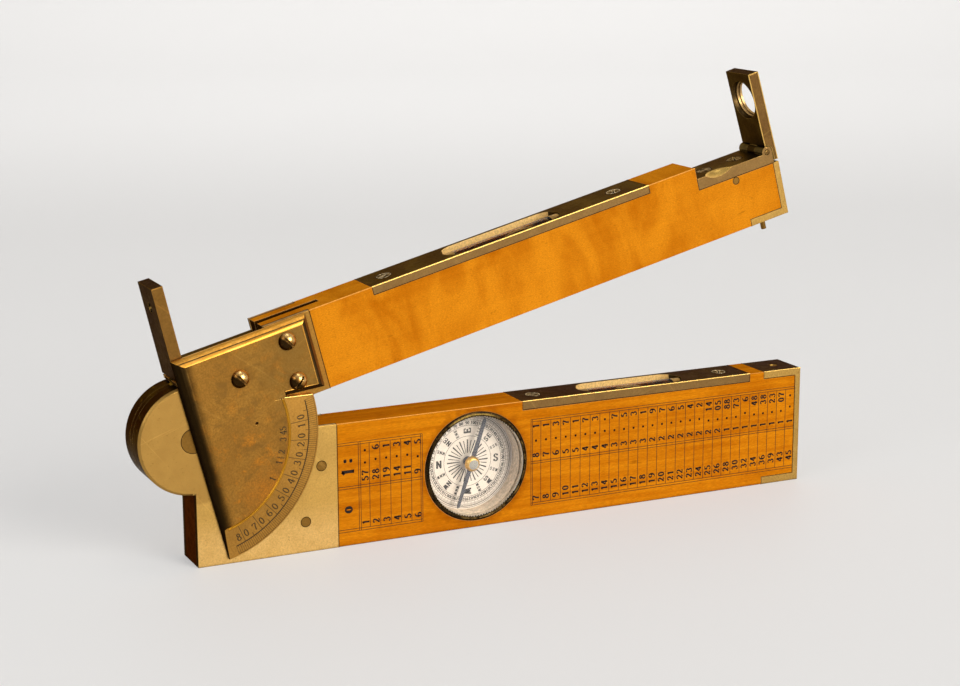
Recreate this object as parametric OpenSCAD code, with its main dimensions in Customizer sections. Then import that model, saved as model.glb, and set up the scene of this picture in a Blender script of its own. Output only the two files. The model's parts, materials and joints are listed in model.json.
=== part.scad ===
// Pocket clinometer: two hinged boxwood and brass arms with a quadrant scale, two spirit levels,
// two folding sights and a small compass. It stands on the lower edge of its lower arm.
// Millimetres, +Z up. The origin is the centre of that lower edge, +X runs away from the hinge
// and the faces with the scale and the compass look toward -Y.

/* [Arms] */
// Length of the lower arm
arm_len = 152.4; // [143:0.1:200]
// Thickness of both arms, from front face to back face
arm_thick = 10; // [10:0.5:14]
// Depth of the lower arm, from its rest edge to its inner edge
lower_depth = 28; // [27.5:0.5:36]
// Depth of the upper arm, from its inner edge to its top
upper_depth = 18.3; // [18:0.1:24]
// Opening angle between the arms
open_angle = 14.4; // [1:0.1:60]
// Gap between the arms' inner edges when they are shut
close_gap = 0.3; // [0.2:0.05:0.8]
// Gap between the arms' butting ends when they are straight
butt_gap = 0.3; // [0.2:0.05:0.8]

/* [Knuckle joint] */
// Radius of the knuckle discs
disc_r = 12; // [10:0.5:12.5]
// Rounding chamfer on the discs' outer edges
disc_chamfer = 0.5; // [0.2:0.1:0.8]
// Thickness of the middle tongue
tongue_t = 1.84; // [1.2:0.02:2.4]
// Running gap on each side of the tongue
tongue_gap = 0.08; // [0.04:0.01:0.15]
// Gap round the discs
knuckle_gap = 0.25; // [0.15:0.05:0.5]
// Length of the tongue's strip inside the upper arm
tongue_len = 30; // [26:0.5:34]
// Length of the saw slot that takes the strip
slot_len = 36; // [34.5:0.5:38]
// Radius of the saw that cut the slot
saw_r = 30; // [20:1:40]
// Radius of the joint pin
pin_r = 2; // [1.5:0.1:2.4]
// Radius of the joint pin's flush heads
pin_head_r = 2.7; // [2.5:0.1:3.5]
// Thickness of the joint pin's heads
pin_head_t = 0.8; // [0.5:0.1:1.2]
// Running clearance between the joint pin and the tongue
pin_clear = 0.05; // [0.02:0.01:0.08]

/* [Joint plates] */
// Thickness of the side plates let into both arms
plate_t = 1.2; // [0.8:0.1:1.5]
// Length of the lower arm's side plates
lower_plate_len = 32.2; // [30.5:0.1:36]
// Length of the upper arm's side plates
upper_plate_len = 32.1; // [31:0.1:36]
// Radius of the flush rivets
rivet_r = 1.13; // [0.8:0.01:1.4]

/* [Quadrant] */
// Rim radius of the quadrant scale
scale_r = 27.9; // [24:0.1:28]
// Radius of the step where the scale band starts
step_r = 20.9; // [19:0.1:21]
// Thickness of the quadrant plate
quad_t = 2.2; // [1.8:0.1:3]
// Thickness of the scale band at the step
band_t = 1.4; // [1:0.1:1.6]
// Thickness of the rim
rim_t = 0.6; // [0.4:0.1:0.9]
// Gap between the quadrant and the face it sweeps over
sweep_gap = 0.25; // [0.15:0.05:0.4]
// Length of the quadrant's fixing plate along the arm
quad_len = 30.8; // [29.5:0.1:31]
// Width of the rounded edge along the index side
index_round = 2.6; // [1.5:0.1:3]
// Width of the bevels round the fixing plate
bevel_w = 1.7; // [1:0.1:2]
// Radius of the round screw heads
quad_screw_r = 2; // [1.6:0.1:2.3]
// Height of the round screw heads
quad_screw_h = 1.5; // [1:0.1:1.7]
// Radius of their shanks
quad_shank_r = 1; // [0.7:0.05:1.1]

/* [Spirit levels] */
// Thickness of the lower arm's level plate
lower_level_t = 1.95; // [1.5:0.05:2.5]
// Length of the lower arm's level plate
lower_level_len = 60.6; // [58:0.2:61]
// Distance of the lower level plate from the far end
lower_level_end = 14.4; // [12:0.2:16]
// Thickness of the upper arm's level plate
upper_level_t = 1.84; // [1.5:0.02:2.4]
// Length of the upper arm's level plate
upper_level_len = 70.6; // [66:0.2:72]
// Distance of the upper level plate from the far end
upper_level_end = 34.8; // [33:0.2:36]
// Rim left on each side of the level windows
window_rim = 1; // [0.8:0.1:1.4]
// Outer radius of the vials
vial_r = 3.5; // [3:0.1:3.7]
// Wall of the vials
vial_wall = 0.6; // [0.4:0.05:0.9]
// Depth of the vials' top below the level plates' faces
vial_sink = 0.3; // [0.2:0.1:0.8]
// Length of the vials' end plugs
plug_len = 2.4; // [2:0.1:3]
// Thickness of the beds under the vials
bed_t = 0.6; // [0.4:0.1:0.8]
// Head radius of the level screws
level_screw_r = 1.8; // [1.4:0.1:2]
// Length of the level screws
level_screw_len = 5.5; // [4:0.5:6]

/* [Compass] */
// Outer radius of the bezel
bezel_r = 12.7; // [12.5:0.1:13]
// Outer radius of the bowl
bowl_r = 12; // [11.9:0.1:12.1]
// Inner radius of the bowl above the glass
bowl_in_r = 11.5; // [11.4:0.05:11.6]
// Step that carries the glass
glass_step = 0.15; // [0.1:0.05:0.2]
// Thickness of the glass
glass_t = 0.6; // [0.4:0.1:0.8]
// How far the bezel stands proud of the arm's face
bezel_proud = 0.3; // [0.1:0.05:0.5]
// Depth of the dial's face below the arm's face
dial_depth = 4.94; // [4.5:0.02:5.5]
// Thickness of the dial
dial_t = 0.56; // [0.4:0.02:0.8]
// Thickness of the bowl's floor
floor_t = 0.7; // [0.5:0.1:1]
// Half length of the needle
needle_r = 10.8; // [9:0.1:10.9]
// Heading of the needle, from the arm's length
needle_angle = 71; // [0:1:180]
// Distance of the compass from the far end
compass_end = 86.7; // [85:0.1:88]

/* [Sights] */
// Thickness of the sight leaves
leaf_t = 2.5; // [2.2:0.05:3]
// Gap under a sight leaf when it is folded
fold_gap = 0.15; // [0.1:0.05:0.3]
// Gap at each side of a sight leaf
leaf_side_gap = 0.1; // [0.05:0.05:0.2]
// Radius of the sight hinges' knuckles
knuckle_r = 1.35; // [1.2:0.05:1.5]
// Radius of the sight hinges' pins
hinge_pin_r = 0.6; // [0.4:0.05:0.7]
// Running clearance of the sight hinges' pins
hinge_clear = 0.05; // [0.02:0.01:0.08]
// Thickness of the sights' base plates
base_t = 2.65; // [2.2:0.05:3]
// Height of the front sight above its hinge
front_leaf_h = 19.1; // [17:0.1:20]
// Height of the rear sight above its hinge
rear_leaf_h = 18.15; // [16:0.05:18.5]
// Lean of the front sight toward the hinge end
front_lean = 2.4; // [0:0.1:5]
// Lean of the rear sight toward the far end
rear_lean = 1.5; // [0:0.1:5]
// Radius of the front sight's bore
ring_bore_r = 4.6; // [4.2:0.05:4.7]
// Radius of the clear hole in the front sight's ring
ring_hole_r = 4.1; // [3.6:0.05:4.15]
// Radius of the rear sight's peephole
peep_r = 1.15; // [0.8:0.05:1.5]
// Length of the front sight's recess
front_recess = 22.2; // [21:0.1:24]
// Length of the rear sight's recess
rear_recess = 21.4; // [21:0.1:24]
// Head radius of the base screws
base_screw_r = 1.9; // [1.5:0.1:2.1]
// Shank radius of the front base's screws, which hold in the wood
front_shank_r = 0.95; // [0.7:0.05:1]
// Shank radius of the rear base's screws, which hold in the tongue
rear_shank_r = 0.6; // [0.4:0.05:0.65]
// Length of the base screws below the bases
base_screw_grip = 3.2; // [2:0.1:3.4]

/* [End caps] */
// Thickness of the lower cap's top leg
cap_top_t = 1.7; // [1.2:0.05:2]
// Thickness of the lower cap's bottom leg
cap_bottom_t = 1.85; // [1.2:0.05:2.2]
// Thickness of the lower cap's end wall
cap_end_t = 1.5; // [1.2:0.05:2]
// Length of the caps' legs
cap_len = 10.4; // [9:0.1:12]
// Thickness of the upper cap's end wall
upper_cap_end_t = 1.58; // [1.2:0.02:2]
// Thickness of the upper cap's leg
upper_cap_leg_t = 1.7; // [1.2:0.05:2]
// Radius of the locating pin
locate_r = 0.62; // [0.5:0.02:0.8]
// Length of the locating pin below the upper arm
locate_len = 3.3; // [2:0.1:4]
// Gap round the locating pin in its hole
locate_gap = 0.3; // [0.2:0.05:0.5]
// Distance of the locating pin from the far end
locate_end = 4.5; // [4:0.1:6]

/* [Hidden] */
$fn = 96;
eps = 0.5;

brass = "#c9a24d";
dark_brass = "#8f6b2c";
pale_brass = "#e0bd6c";
boxwood = "#d98d24";
steel = "#4a5059";
silvered = "#e6dfcf";

mid_y = arm_thick / 2;
// The pivot, seen from the lower arm's corner
pivot_x = -butt_gap / 2;
pivot_z = lower_depth + close_gap / 2;
// The upper arm is measured from the pivot
upper_start = butt_gap / 2;
upper_inner = close_gap / 2;
upper_end = arm_len + butt_gap / 2;
// Width of the slot that the tongue runs and sits in
side_t = (arm_thick - tongue_t) / 2 - tongue_gap;
tongue_y = (arm_thick - tongue_t) / 2;

lower_rivets = [[28.5, 19.1], [24.6, 6.9]];
upper_rivet_spots = [[18.2, 4.6], [28.4, 9.6]];
quad_screw_spots = [[12.9, 10, -65], [25, 14.2, -62], [25, 5, 38]];
quad_screw_in = tongue_y - 0.45;
index_hole = [13.7, -0.6];
quad_top = upper_depth - 0.1;
quad_corner_v = 1.4;
slot_tip_v = 2.7;

// Levels
window_w = arm_thick - 2 * window_rim;
window_len = 27.4;
window_from = (lower_level_len - window_len) / 2;
upper_window_len = 29.6;
upper_window_from = 19.6;
screw_near_end = 5;
screw_far_end = 5.7;
upper_screw_far_end = 6.6;
level_screw_in = [screw_near_end, lower_level_len - screw_far_end];
upper_screw_in = [screw_near_end, upper_level_len - upper_screw_far_end];
level_slot_turn = [25, 65];
vial_z = -vial_sink - vial_r;
channel_r = vial_r + bed_t;
lower_level_x = arm_len - lower_level_end - lower_level_len;
upper_level_u = upper_end - upper_level_end - upper_level_len;

// Compass
compass_x = arm_len - compass_end;
compass_z = lower_depth / 2 + 0.3;
glass_y = 0.55;
bowl_back = dial_depth + dial_t + floor_t;
cap_top_y = glass_y + glass_t + 0.3;
blade_y = cap_top_y + 1.2;
blade_t = 0.25;
post_r = 0.4;
post_clear = 0.05;

// Sights: the hinge axis stands a little above the base, so the folded leaf ends flush
axis_rise = 0.25;
base_top = upper_depth - leaf_t - fold_gap;
base_bottom = base_top - base_t;
axis_v = base_top + axis_rise;
leaf_in = axis_rise - fold_gap;
leaf_out = leaf_t - leaf_in;
front_axis_u = upper_end - 0.2 - leaf_out;
rear_axis_u = upper_start + leaf_out;
knuckle_w = arm_thick / 3;
knuckle_side_gap = 0.1;
leaf_clear = 0.15;
locate_root = 2;
heel_len = 2.4;
ring_h = 12.5;
peep_h = 13.3;
base_screw_in = [6.1, 14.7];
// Finger scoop in the front base, a ball's dent with its centre above and before the plate
scoop_r = 6.18;
scoop_in = 13.7;
scoop_out = 1.27;
scoop_rise = 4.9;
rear_screw_in = [7.5, 14.5];
level_shank_r = level_screw_r / 2;

module at_lower() {
    translate([-arm_len / 2, -mid_y, 0]) children();
}

// Upper arm's frame: origin at the pivot, X along the arm, Z toward its top
module at_upper() {
    translate([pivot_x - arm_len / 2, -mid_y, pivot_z]) rotate([0, -open_angle, 0]) children();
}

// Cylinder along Y from y0 to y1
module rod_y(r, y0, y1) {
    translate([0, y1, 0]) rotate([90, 0, 0]) cylinder(r = r, h = y1 - y0);
}

// Outline in X and Z, thickened along Y from y0 to y1
module slab_y(y0, y1) {
    translate([0, y1, 0]) rotate([90, 0, 0]) linear_extrude(y1 - y0) children();
}

// Countersunk slotted screw, head face at z = 0, pointing down
module flat_screw(head_r, shank_r, len, slot_turn) {
    head_h = head_r - shank_r;
    difference() {
        union() {
            translate([0, 0, -head_h]) cylinder(r1 = shank_r, r2 = head_r, h = head_h);
            translate([0, 0, -len]) cylinder(r = shank_r, h = len);
        }
        rotate([0, 0, slot_turn]) translate([-head_r - 1, -0.2, -0.45]) cube([2 * head_r + 2, 0.4, 1]);
    }
}

// Space that a flat screw takes in what it fastens
module flat_screw_hole(head_r, shank_r, len) {
    head_h = head_r - shank_r;
    translate([0, 0, -head_h]) cylinder(r1 = shank_r, r2 = head_r, h = head_h);
    translate([0, 0, -len]) cylinder(r = shank_r, h = len + eps);
    cylinder(r = head_r, h = eps);
}

// Round slotted head on a shank, face at z = 0 and head above it
module round_screw(head_r, shank_r, head_h, len, slot_turn) {
    dome_r = (head_r * head_r + head_h * head_h) / (2 * head_h);
    difference() {
        union() {
            intersection() {
                translate([0, 0, head_h - dome_r]) sphere(r = dome_r);
                cylinder(r = head_r, h = head_h + 1);
            }
            translate([0, 0, -len]) cylinder(r = shank_r, h = len + head_h * 0.4);
        }
        rotate([0, 0, slot_turn]) translate([-head_r - 1, -0.22, head_h - 0.75])
            cube([2 * head_r + 2, 0.44, 2]);
    }
}

// Shared level parts, origin on the plate's face at its hinge-side corner

module level_window(from, len, t) {
    r = window_w / 2;
    translate([from + r, mid_y, -t - eps]) cylinder(r = r, h = t + 2 * eps);
    translate([from + len - r, mid_y, -t - eps]) cylinder(r = r, h = t + 2 * eps);
    translate([from + r, mid_y - r, -t - eps]) cube([len - 2 * r, 2 * r, t + 2 * eps]);
}

module level_plate(len, t, from, win_len, screws) {
    difference() {
        translate([0, 0, -t]) cube([len, arm_thick, t]);
        level_window(from, win_len, t);
        translate([from, mid_y, vial_z]) rotate([0, 90, 0]) cylinder(r = vial_r, h = win_len);
        for (x = screws) translate([x, mid_y, 0]) flat_screw_hole(level_screw_r, level_shank_r, t + eps);
    }
}

module vial_tube(from, len) {
    translate([from + plug_len, mid_y, vial_z]) rotate([0, 90, 0]) difference() {
        cylinder(r = vial_r, h = len - 2 * plug_len);
        translate([0, 0, -eps]) cylinder(r = vial_r - vial_wall, h = len - 2 * plug_len + 2 * eps);
    }
}

module vial_plug(length) {
    spigot = 1;
    cylinder(r = vial_r, h = length);
    cylinder(r = vial_r - vial_wall, h = length + spigot);
}

module vial_plugs(from, len) {
    translate([from, mid_y, vial_z]) rotate([0, 90, 0]) vial_plug(plug_len);
    translate([from + len, mid_y, vial_z]) rotate([0, -90, 0]) vial_plug(plug_len);
}

// Trough under the vial, up to the height of the vial's axis
module vial_bed(from, len) {
    difference() {
        translate([from, mid_y, vial_z]) rotate([0, 90, 0]) cylinder(r = channel_r, h = len);
        translate([from - eps, mid_y, vial_z]) rotate([0, 90, 0]) cylinder(r = vial_r, h = len + 2 * eps);
        translate([from - eps, -eps, vial_z]) cube([len + 2 * eps, arm_thick + 2 * eps, 2 * channel_r]);
    }
}

module level_screws(screws) {
    for (i = [0, 1]) translate([screws[i], mid_y, 0])
        flat_screw(level_screw_r, level_shank_r, level_screw_len, level_slot_turn[i]);
}

// What the wood loses for a level
module level_cut(len, t, from, win_len, screws) {
    translate([0, -eps, -t]) cube([len, arm_thick + 2 * eps, t + eps]);
    translate([from, mid_y, vial_z]) rotate([0, 90, 0]) cylinder(r = channel_r, h = win_len);
    translate([from, mid_y - channel_r, vial_z]) cube([win_len, 2 * channel_r, -vial_z]);
    for (x = screws)
        translate([x, mid_y, -level_screw_len]) cylinder(r = level_shank_r, h = level_screw_len);
}

// Lower arm

module lower_wood() {
    color(boxwood) at_lower() difference() {
        cube([arm_len - cap_end_t, arm_thick, lower_depth]);
        translate([pivot_x, 0, pivot_z]) rod_y(disc_r + knuckle_gap, -eps, arm_thick + eps);
        for (y = [-eps, arm_thick - plate_t])
            translate([-eps, y, -eps]) cube([lower_plate_len + eps, plate_t + eps, lower_depth + 2 * eps]);
        for (p = lower_rivets) translate([p[0], 0, p[1]]) rod_y(rivet_r, 0, arm_thick);
        translate([lower_level_x, 0, lower_depth])
            level_cut(lower_level_len, lower_level_t, window_from, window_len, level_screw_in);
        translate([compass_x, 0, compass_z]) {
            rod_y(bowl_r, -eps, bowl_back);
            rod_y(bezel_r, -eps, glass_y);
        }
        translate([arm_len - cap_len, -eps, lower_depth - cap_top_t])
            cube([cap_len, arm_thick + 2 * eps, cap_top_t + eps]);
        translate([arm_len - cap_len, -eps, -eps])
            cube([cap_len, arm_thick + 2 * eps, cap_bottom_t + eps]);
        locating_hole();
    }
}

// Hole for the locating pin, through the cap's top leg and into the wood
module locating_hole() {
    translate([arm_len - locate_end, mid_y, lower_depth - locate_len - 2 * locate_gap])
        cylinder(r = locate_r + locate_gap, h = locate_len + 2 * locate_gap + eps);
}

// Side leaf of the knuckle with its plate, outer face at y = 0
module side_leaf() {
    difference() {
        union() {
            cube([lower_plate_len, plate_t, lower_depth]);
            translate([pivot_x, 0, pivot_z]) {
                rod_y(disc_r, disc_chamfer, side_t);
                rotate([-90, 0, 0]) cylinder(r1 = disc_r - disc_chamfer, r2 = disc_r, h = disc_chamfer);
            }
        }
        translate([pivot_x, 0, pivot_z]) {
            rod_y(pin_r, -eps, side_t + eps);
            rod_y(pin_head_r, -eps, pin_head_t);
        }
        for (p = lower_rivets) translate([p[0], 0, p[1]]) rod_y(rivet_r, -eps, plate_t + eps);
    }
}

module joint_leaf_front() {
    color(pale_brass) at_lower() side_leaf();
}

module joint_leaf_back() {
    color(pale_brass) at_lower() translate([0, arm_thick, 0]) mirror([0, 1, 0]) side_leaf();
}

module joint_pin() {
    color(brass) at_lower() translate([pivot_x, 0, pivot_z]) {
        rod_y(pin_r, 0, arm_thick);
        rod_y(pin_head_r, 0, pin_head_t);
        rod_y(pin_head_r, arm_thick - pin_head_t, arm_thick);
    }
}

module leaf_rivets() {
    color(dark_brass) at_lower() for (p = lower_rivets)
        translate([p[0], 0, p[1]]) rod_y(rivet_r, 0, arm_thick);
}

module at_lower_level() {
    at_lower() translate([lower_level_x, 0, lower_depth]) children();
}

module lower_level_plate() {
    color(dark_brass) at_lower_level()
        level_plate(lower_level_len, lower_level_t, window_from, window_len, level_screw_in);
}

module lower_vial() {
    color("#f2e6b8", 0.5) at_lower_level() vial_tube(window_from, window_len);
}

module lower_vial_plugs() {
    color(brass) at_lower_level() vial_plugs(window_from, window_len);
}

module lower_vial_bed() {
    color(silvered) at_lower_level() vial_bed(window_from, window_len);
}

module lower_level_screws() {
    color(brass) at_lower_level() level_screws(level_screw_in);
}

module lower_end_cap() {
    color(pale_brass) at_lower() difference() {
        translate([arm_len - cap_len, 0, 0]) cube([cap_len, arm_thick, lower_depth]);
        translate([arm_len - cap_len - eps, -eps, cap_bottom_t])
            cube([cap_len - cap_end_t + eps, arm_thick + 2 * eps, lower_depth - cap_top_t - cap_bottom_t]);
        locating_hole();
    }
}

// Compass, axis along Y at the compass centre

module at_compass() {
    at_lower() translate([compass_x, 0, compass_z]) children();
}

// Ring or disc about Y from an outline in radius and depth
module turned_y() {
    rotate([-90, 0, 0]) rotate_extrude() children();
}

module compass_bowl() {
    color(dark_brass) at_compass() turned_y() polygon([
        [0, dial_depth + dial_t], [bowl_in_r - glass_step, dial_depth + dial_t],
        [bowl_in_r - glass_step, glass_y + glass_t], [bowl_in_r, glass_y + glass_t],
        [bowl_in_r, glass_y], [bowl_r, glass_y], [bowl_r, bowl_back], [0, bowl_back]
    ]);
}

module compass_bezel() {
    mid_r = (bezel_r + bowl_in_r) / 2;
    color(dark_brass) at_compass() turned_y() polygon([
        [bowl_in_r, glass_y], [bowl_in_r, 0], [bowl_in_r + 0.2, -bezel_proud * 0.7],
        [mid_r, -bezel_proud], [bezel_r - 0.25, -bezel_proud * 0.6], [bezel_r, 0], [bezel_r, glass_y]
    ]);
}

module compass_glass() {
    color("#dfe8ea", 0.35) at_compass() rod_y(bowl_in_r, glass_y, glass_y + glass_t);
}

module compass_dial() {
    color(silvered) at_compass() difference() {
        rod_y(bowl_in_r - glass_step, dial_depth, dial_depth + dial_t);
        rod_y(post_r, dial_depth - eps, dial_depth + dial_t + eps);
    }
}

// Steel post with a foot on the dial; the cap turns on its upper end
module compass_post() {
    color(steel) at_compass() {
        rod_y(post_r, cap_top_y + 0.5, dial_depth + dial_t);
        rod_y(1.1, dial_depth - 0.5, dial_depth);
    }
}

module compass_needle() {
    tip_w = 0.32;
    root_w = 0.55;
    color(steel) at_compass() rotate([0, -needle_angle, 0]) difference() {
        union() {
            slab_y(blade_y, blade_y + blade_t) polygon([
                [-needle_r, 0], [-needle_r + 0.5, tip_w], [0, root_w], [needle_r - 0.5, tip_w + 0.08],
                [needle_r, 0], [needle_r - 0.5, -tip_w - 0.08], [0, -root_w], [-needle_r + 0.5, -tip_w]
            ]);
            rod_y(1.5, blade_y, blade_y + blade_t);
        }
        rod_y(0.9, blade_y - eps, blade_y + blade_t + eps);
    }
}

module needle_cap() {
    color(brass) at_compass() difference() {
        union() {
            rotate([-90, 0, 0]) translate([0, 0, cap_top_y]) cylinder(r1 = 1.15, r2 = 1.75, h = 0.7);
            rod_y(1.75, cap_top_y + 0.7, blade_y);
            rod_y(0.9, blade_y, blade_y + blade_t + 0.15);
        }
        rod_y(post_r + post_clear, cap_top_y + 0.5 - post_clear, blade_y + blade_t + eps);
    }
}

// Upper arm

module upper_wood() {
    inner_len = upper_end - upper_cap_end_t - upper_start;
    color(boxwood) at_upper() difference() {
        translate([upper_start, 0, upper_inner]) cube([inner_len, arm_thick, upper_depth - upper_inner]);
        rod_y(disc_r + knuckle_gap, -eps, arm_thick + eps);
        for (y = [-eps, arm_thick - plate_t])
            translate([-eps, y, -eps]) cube([upper_plate_len + eps, plate_t + eps, upper_depth + 2 * eps]);
        tongue_slot();
        translate([-eps, -eps, base_bottom]) cube([rear_recess + eps, arm_thick + 2 * eps, upper_depth]);
        translate([upper_end - front_recess, -eps, base_bottom])
            cube([front_recess + eps, arm_thick + 2 * eps, upper_depth]);
        for (p = upper_rivet_spots) translate([p[0], 0, p[1]]) rod_y(rivet_r, 0, arm_thick);
        for (s = quad_screw_spots)
            translate([s[0], 0, s[1]]) rod_y(quad_shank_r, -eps, quad_screw_in);
        translate([upper_level_u, 0, upper_depth])
            level_cut(upper_level_len, upper_level_t, upper_window_from, upper_window_len, upper_screw_in);
        for (x = base_screw_in)
            translate([front_axis_u - x, mid_y, base_bottom - base_screw_grip])
                cylinder(r = front_shank_r, h = base_screw_grip + eps);
        translate([upper_end - cap_len, -eps, -eps])
            cube([cap_len, arm_thick + 2 * eps, upper_inner + upper_cap_leg_t + eps]);
        cross_pin_rod();
        locating_rod();
    }
}

// Saw slot with a round end, open to both edges of the arm
module tongue_slot() {
    slot_t = tongue_t + 2 * tongue_gap;
    saw_u = slot_len - saw_r;
    intersection() {
        translate([-eps, tongue_y - tongue_gap, -eps])
            cube([slot_len + 2 * eps, slot_t, upper_depth + 2 * eps]);
        union() {
            translate([saw_u, 0, upper_depth]) rod_y(saw_r, -eps, arm_thick + eps);
            translate([-eps, 0, -eps]) cube([tongue_len + eps, arm_thick, upper_depth + 2 * eps]);
        }
    }
}

// Middle leaf of the knuckle: a disc between the side leaves, with a strip into the upper arm
module joint_tongue() {
    color(dark_brass) at_upper() difference() {
        union() {
            rod_y(disc_r, tongue_y, tongue_y + tongue_t);
            translate([upper_start, tongue_y, upper_inner])
                cube([tongue_len - upper_start, tongue_t, base_bottom - upper_inner]);
        }
        rod_y(pin_r + pin_clear, -eps, arm_thick + eps);
        for (x = rear_screw_in)
            translate([rear_axis_u + x, mid_y, base_bottom - base_screw_grip])
                cylinder(r = rear_shank_r, h = base_screw_grip + eps);
        for (p = upper_rivet_spots) translate([p[0], 0, p[1]]) rod_y(rivet_r, -eps, arm_thick + eps);
    }
}

// Side plate let into the upper arm, cut away round the discs and below the rear sight
module upper_side_plate() {
    difference() {
        translate([upper_start, 0, upper_inner])
            cube([upper_plate_len - upper_start, plate_t, upper_depth - upper_inner]);
        rod_y(disc_r + knuckle_gap, -eps, plate_t + eps);
        translate([-eps, -eps, base_bottom]) cube([rear_recess + eps, plate_t + 2 * eps, upper_depth]);
        for (p = upper_rivet_spots) translate([p[0], 0, p[1]]) rod_y(rivet_r, -eps, plate_t + eps);
    }
}

module upper_plate_front() {
    color(pale_brass) at_upper() difference() {
        upper_side_plate();
        for (s = quad_screw_spots)
            translate([s[0], 0, s[1]]) rod_y(quad_shank_r, -eps, plate_t + eps);
    }
}

module upper_plate_back() {
    color(pale_brass) at_upper() translate([0, arm_thick, 0]) mirror([0, 1, 0]) upper_side_plate();
}

module upper_rivets() {
    color(dark_brass) at_upper() for (p = upper_rivet_spots)
        translate([p[0], 0, p[1]]) rod_y(rivet_r, 0, arm_thick);
}

// Quadrant, its outer face at y = -quad_t

// Wedge that cuts a two-step bevel along an edge; the edge runs along Z at x = 0, metal on +X
module bevel_cut(len) {
    linear_extrude(len) polygon([
        [-1, -quad_t - 1], [-1, -0.7], [0, -0.7], [bevel_w * 0.47, -quad_t + 0.45],
        [bevel_w, -quad_t], [bevel_w, -quad_t - 1]
    ]);
}

// Quarter disc with a sloping scale band, from the index edge to just past zero
module quadrant_disc() {
    difference() {
        rotate([90, 0, 0]) rotate([0, 0, -90]) rotate_extrude(angle = 100) polygon([
            [0, sweep_gap], [scale_r, sweep_gap], [scale_r, rim_t], [step_r, band_t],
            [step_r - 0.5, quad_t], [0, quad_t]
        ]);
        slab_y(-quad_t - eps, eps) polygon([
            [step_r - 2, slot_tip_v], [step_r + 0.3, slot_tip_v - 0.2], [scale_r + 1, 0.3],
            [scale_r + 1, 8], [step_r - 2, 8]
        ]);
    }
}

// Fixing plate with bevels along its top and far edge and a chamfer along its lower edge
module fixing_plate() {
    tip = [step_r + 0.3, slot_tip_v];
    slope = atan2(tip[1] - quad_corner_v, quad_len - tip[0]);
    difference() {
        slab_y(-quad_t, -sweep_gap) polygon([
            [0, 0], [0, quad_top], [quad_len, quad_top], [quad_len, quad_corner_v], tip,
            [step_r - 4, tip[1]], [step_r - 4, 0]
        ]);
        translate([-eps, 0, quad_top]) rotate([0, 90, 0]) bevel_cut(quad_len + 2 * eps);
        translate([quad_len, 0, 0]) mirror([1, 0, 0]) bevel_cut(upper_depth + eps);
        translate([tip[0], 0, tip[1]]) rotate([0, 90 + slope, 0]) translate([0, 0, 0.2])
            linear_extrude(quad_len - tip[0] + 1) polygon([
                [1, -quad_t - 1], [1, -0.9], [0.01, -0.9], [-bevel_w * 0.7, -quad_t - 0.01],
                [-bevel_w * 0.7, -quad_t - 1]
            ]);
    }
}

module quadrant() {
    edge_t = 0.35;
    rise = quad_t - edge_t;
    round_r = (index_round * index_round + rise * rise) / (2 * rise);
    color(brass) at_upper() difference() {
        union() {
            quadrant_disc();
            fixing_plate();
            // seat on the upper arm
            slab_y(-sweep_gap - 0.1, 0) polygon([
                [disc_r + 0.6, slot_tip_v + 0.1], [disc_r + 0.6, base_bottom], [rear_recess, base_bottom],
                [rear_recess, quad_top], [quad_len, quad_top], [quad_len, slot_tip_v + 0.1]
            ]);
        }
        // rounded index edge
        translate([0, 0, -scale_r - 1]) linear_extrude(scale_r + upper_depth + 2) difference() {
            translate([-1, -quad_t - 1]) square([index_round + 1, quad_t + 0.8]);
            translate([index_round, round_r - quad_t]) circle(r = round_r);
        }
        for (s = quad_screw_spots)
            translate([s[0], 0, s[1]]) rod_y(quad_shank_r, -quad_t - eps, eps);
        translate([index_hole[0], 0, index_hole[1]]) rod_y(0.35, -quad_t - eps, eps);
    }
}

module quadrant_screws() {
    color(dark_brass) at_upper() for (s = quad_screw_spots) translate([s[0], -quad_t, s[1]])
        rotate([90, 0, 0]) round_screw(quad_screw_r, quad_shank_r, quad_screw_h, quad_t + quad_screw_in, s[2]);
}

module at_upper_level() {
    at_upper() translate([upper_level_u, 0, upper_depth]) children();
}

module upper_level_plate() {
    color(dark_brass) at_upper_level()
        level_plate(upper_level_len, upper_level_t, upper_window_from, upper_window_len, upper_screw_in);
}

module upper_vial() {
    color("#f2e6b8", 0.5) at_upper_level() vial_tube(upper_window_from, upper_window_len);
}

module upper_vial_plugs() {
    color(brass) at_upper_level() vial_plugs(upper_window_from, upper_window_len);
}

module upper_vial_bed() {
    color(silvered) at_upper_level() vial_bed(upper_window_from, upper_window_len);
}

module upper_level_screws() {
    color(brass) at_upper_level() level_screws(upper_screw_in);
}

// Sights, each drawn with its hinge axis at the origin and its base toward -X

module at_front_sight() {
    at_upper() translate([front_axis_u, 0, axis_v]) children();
}

module at_rear_sight() {
    at_upper() translate([rear_axis_u, 0, axis_v]) mirror([1, 0, 0]) children();
}

// Base plate with two outer knuckles
module sight_base(len, screws, shank_r) {
    difference() {
        union() {
            translate([-len, 0, -axis_rise - base_t]) cube([len + knuckle_r, arm_thick, base_t]);
            rod_y(knuckle_r, 0, knuckle_w);
            rod_y(knuckle_r, arm_thick - knuckle_w, arm_thick);
        }
        rod_y(knuckle_r + leaf_clear, knuckle_w, arm_thick - knuckle_w);
        rod_y(hinge_pin_r, -eps, arm_thick + eps);
        for (x = screws)
            translate([-x, mid_y, -axis_rise]) flat_screw_hole(base_screw_r, shank_r, base_t + eps);
    }
}

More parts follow.
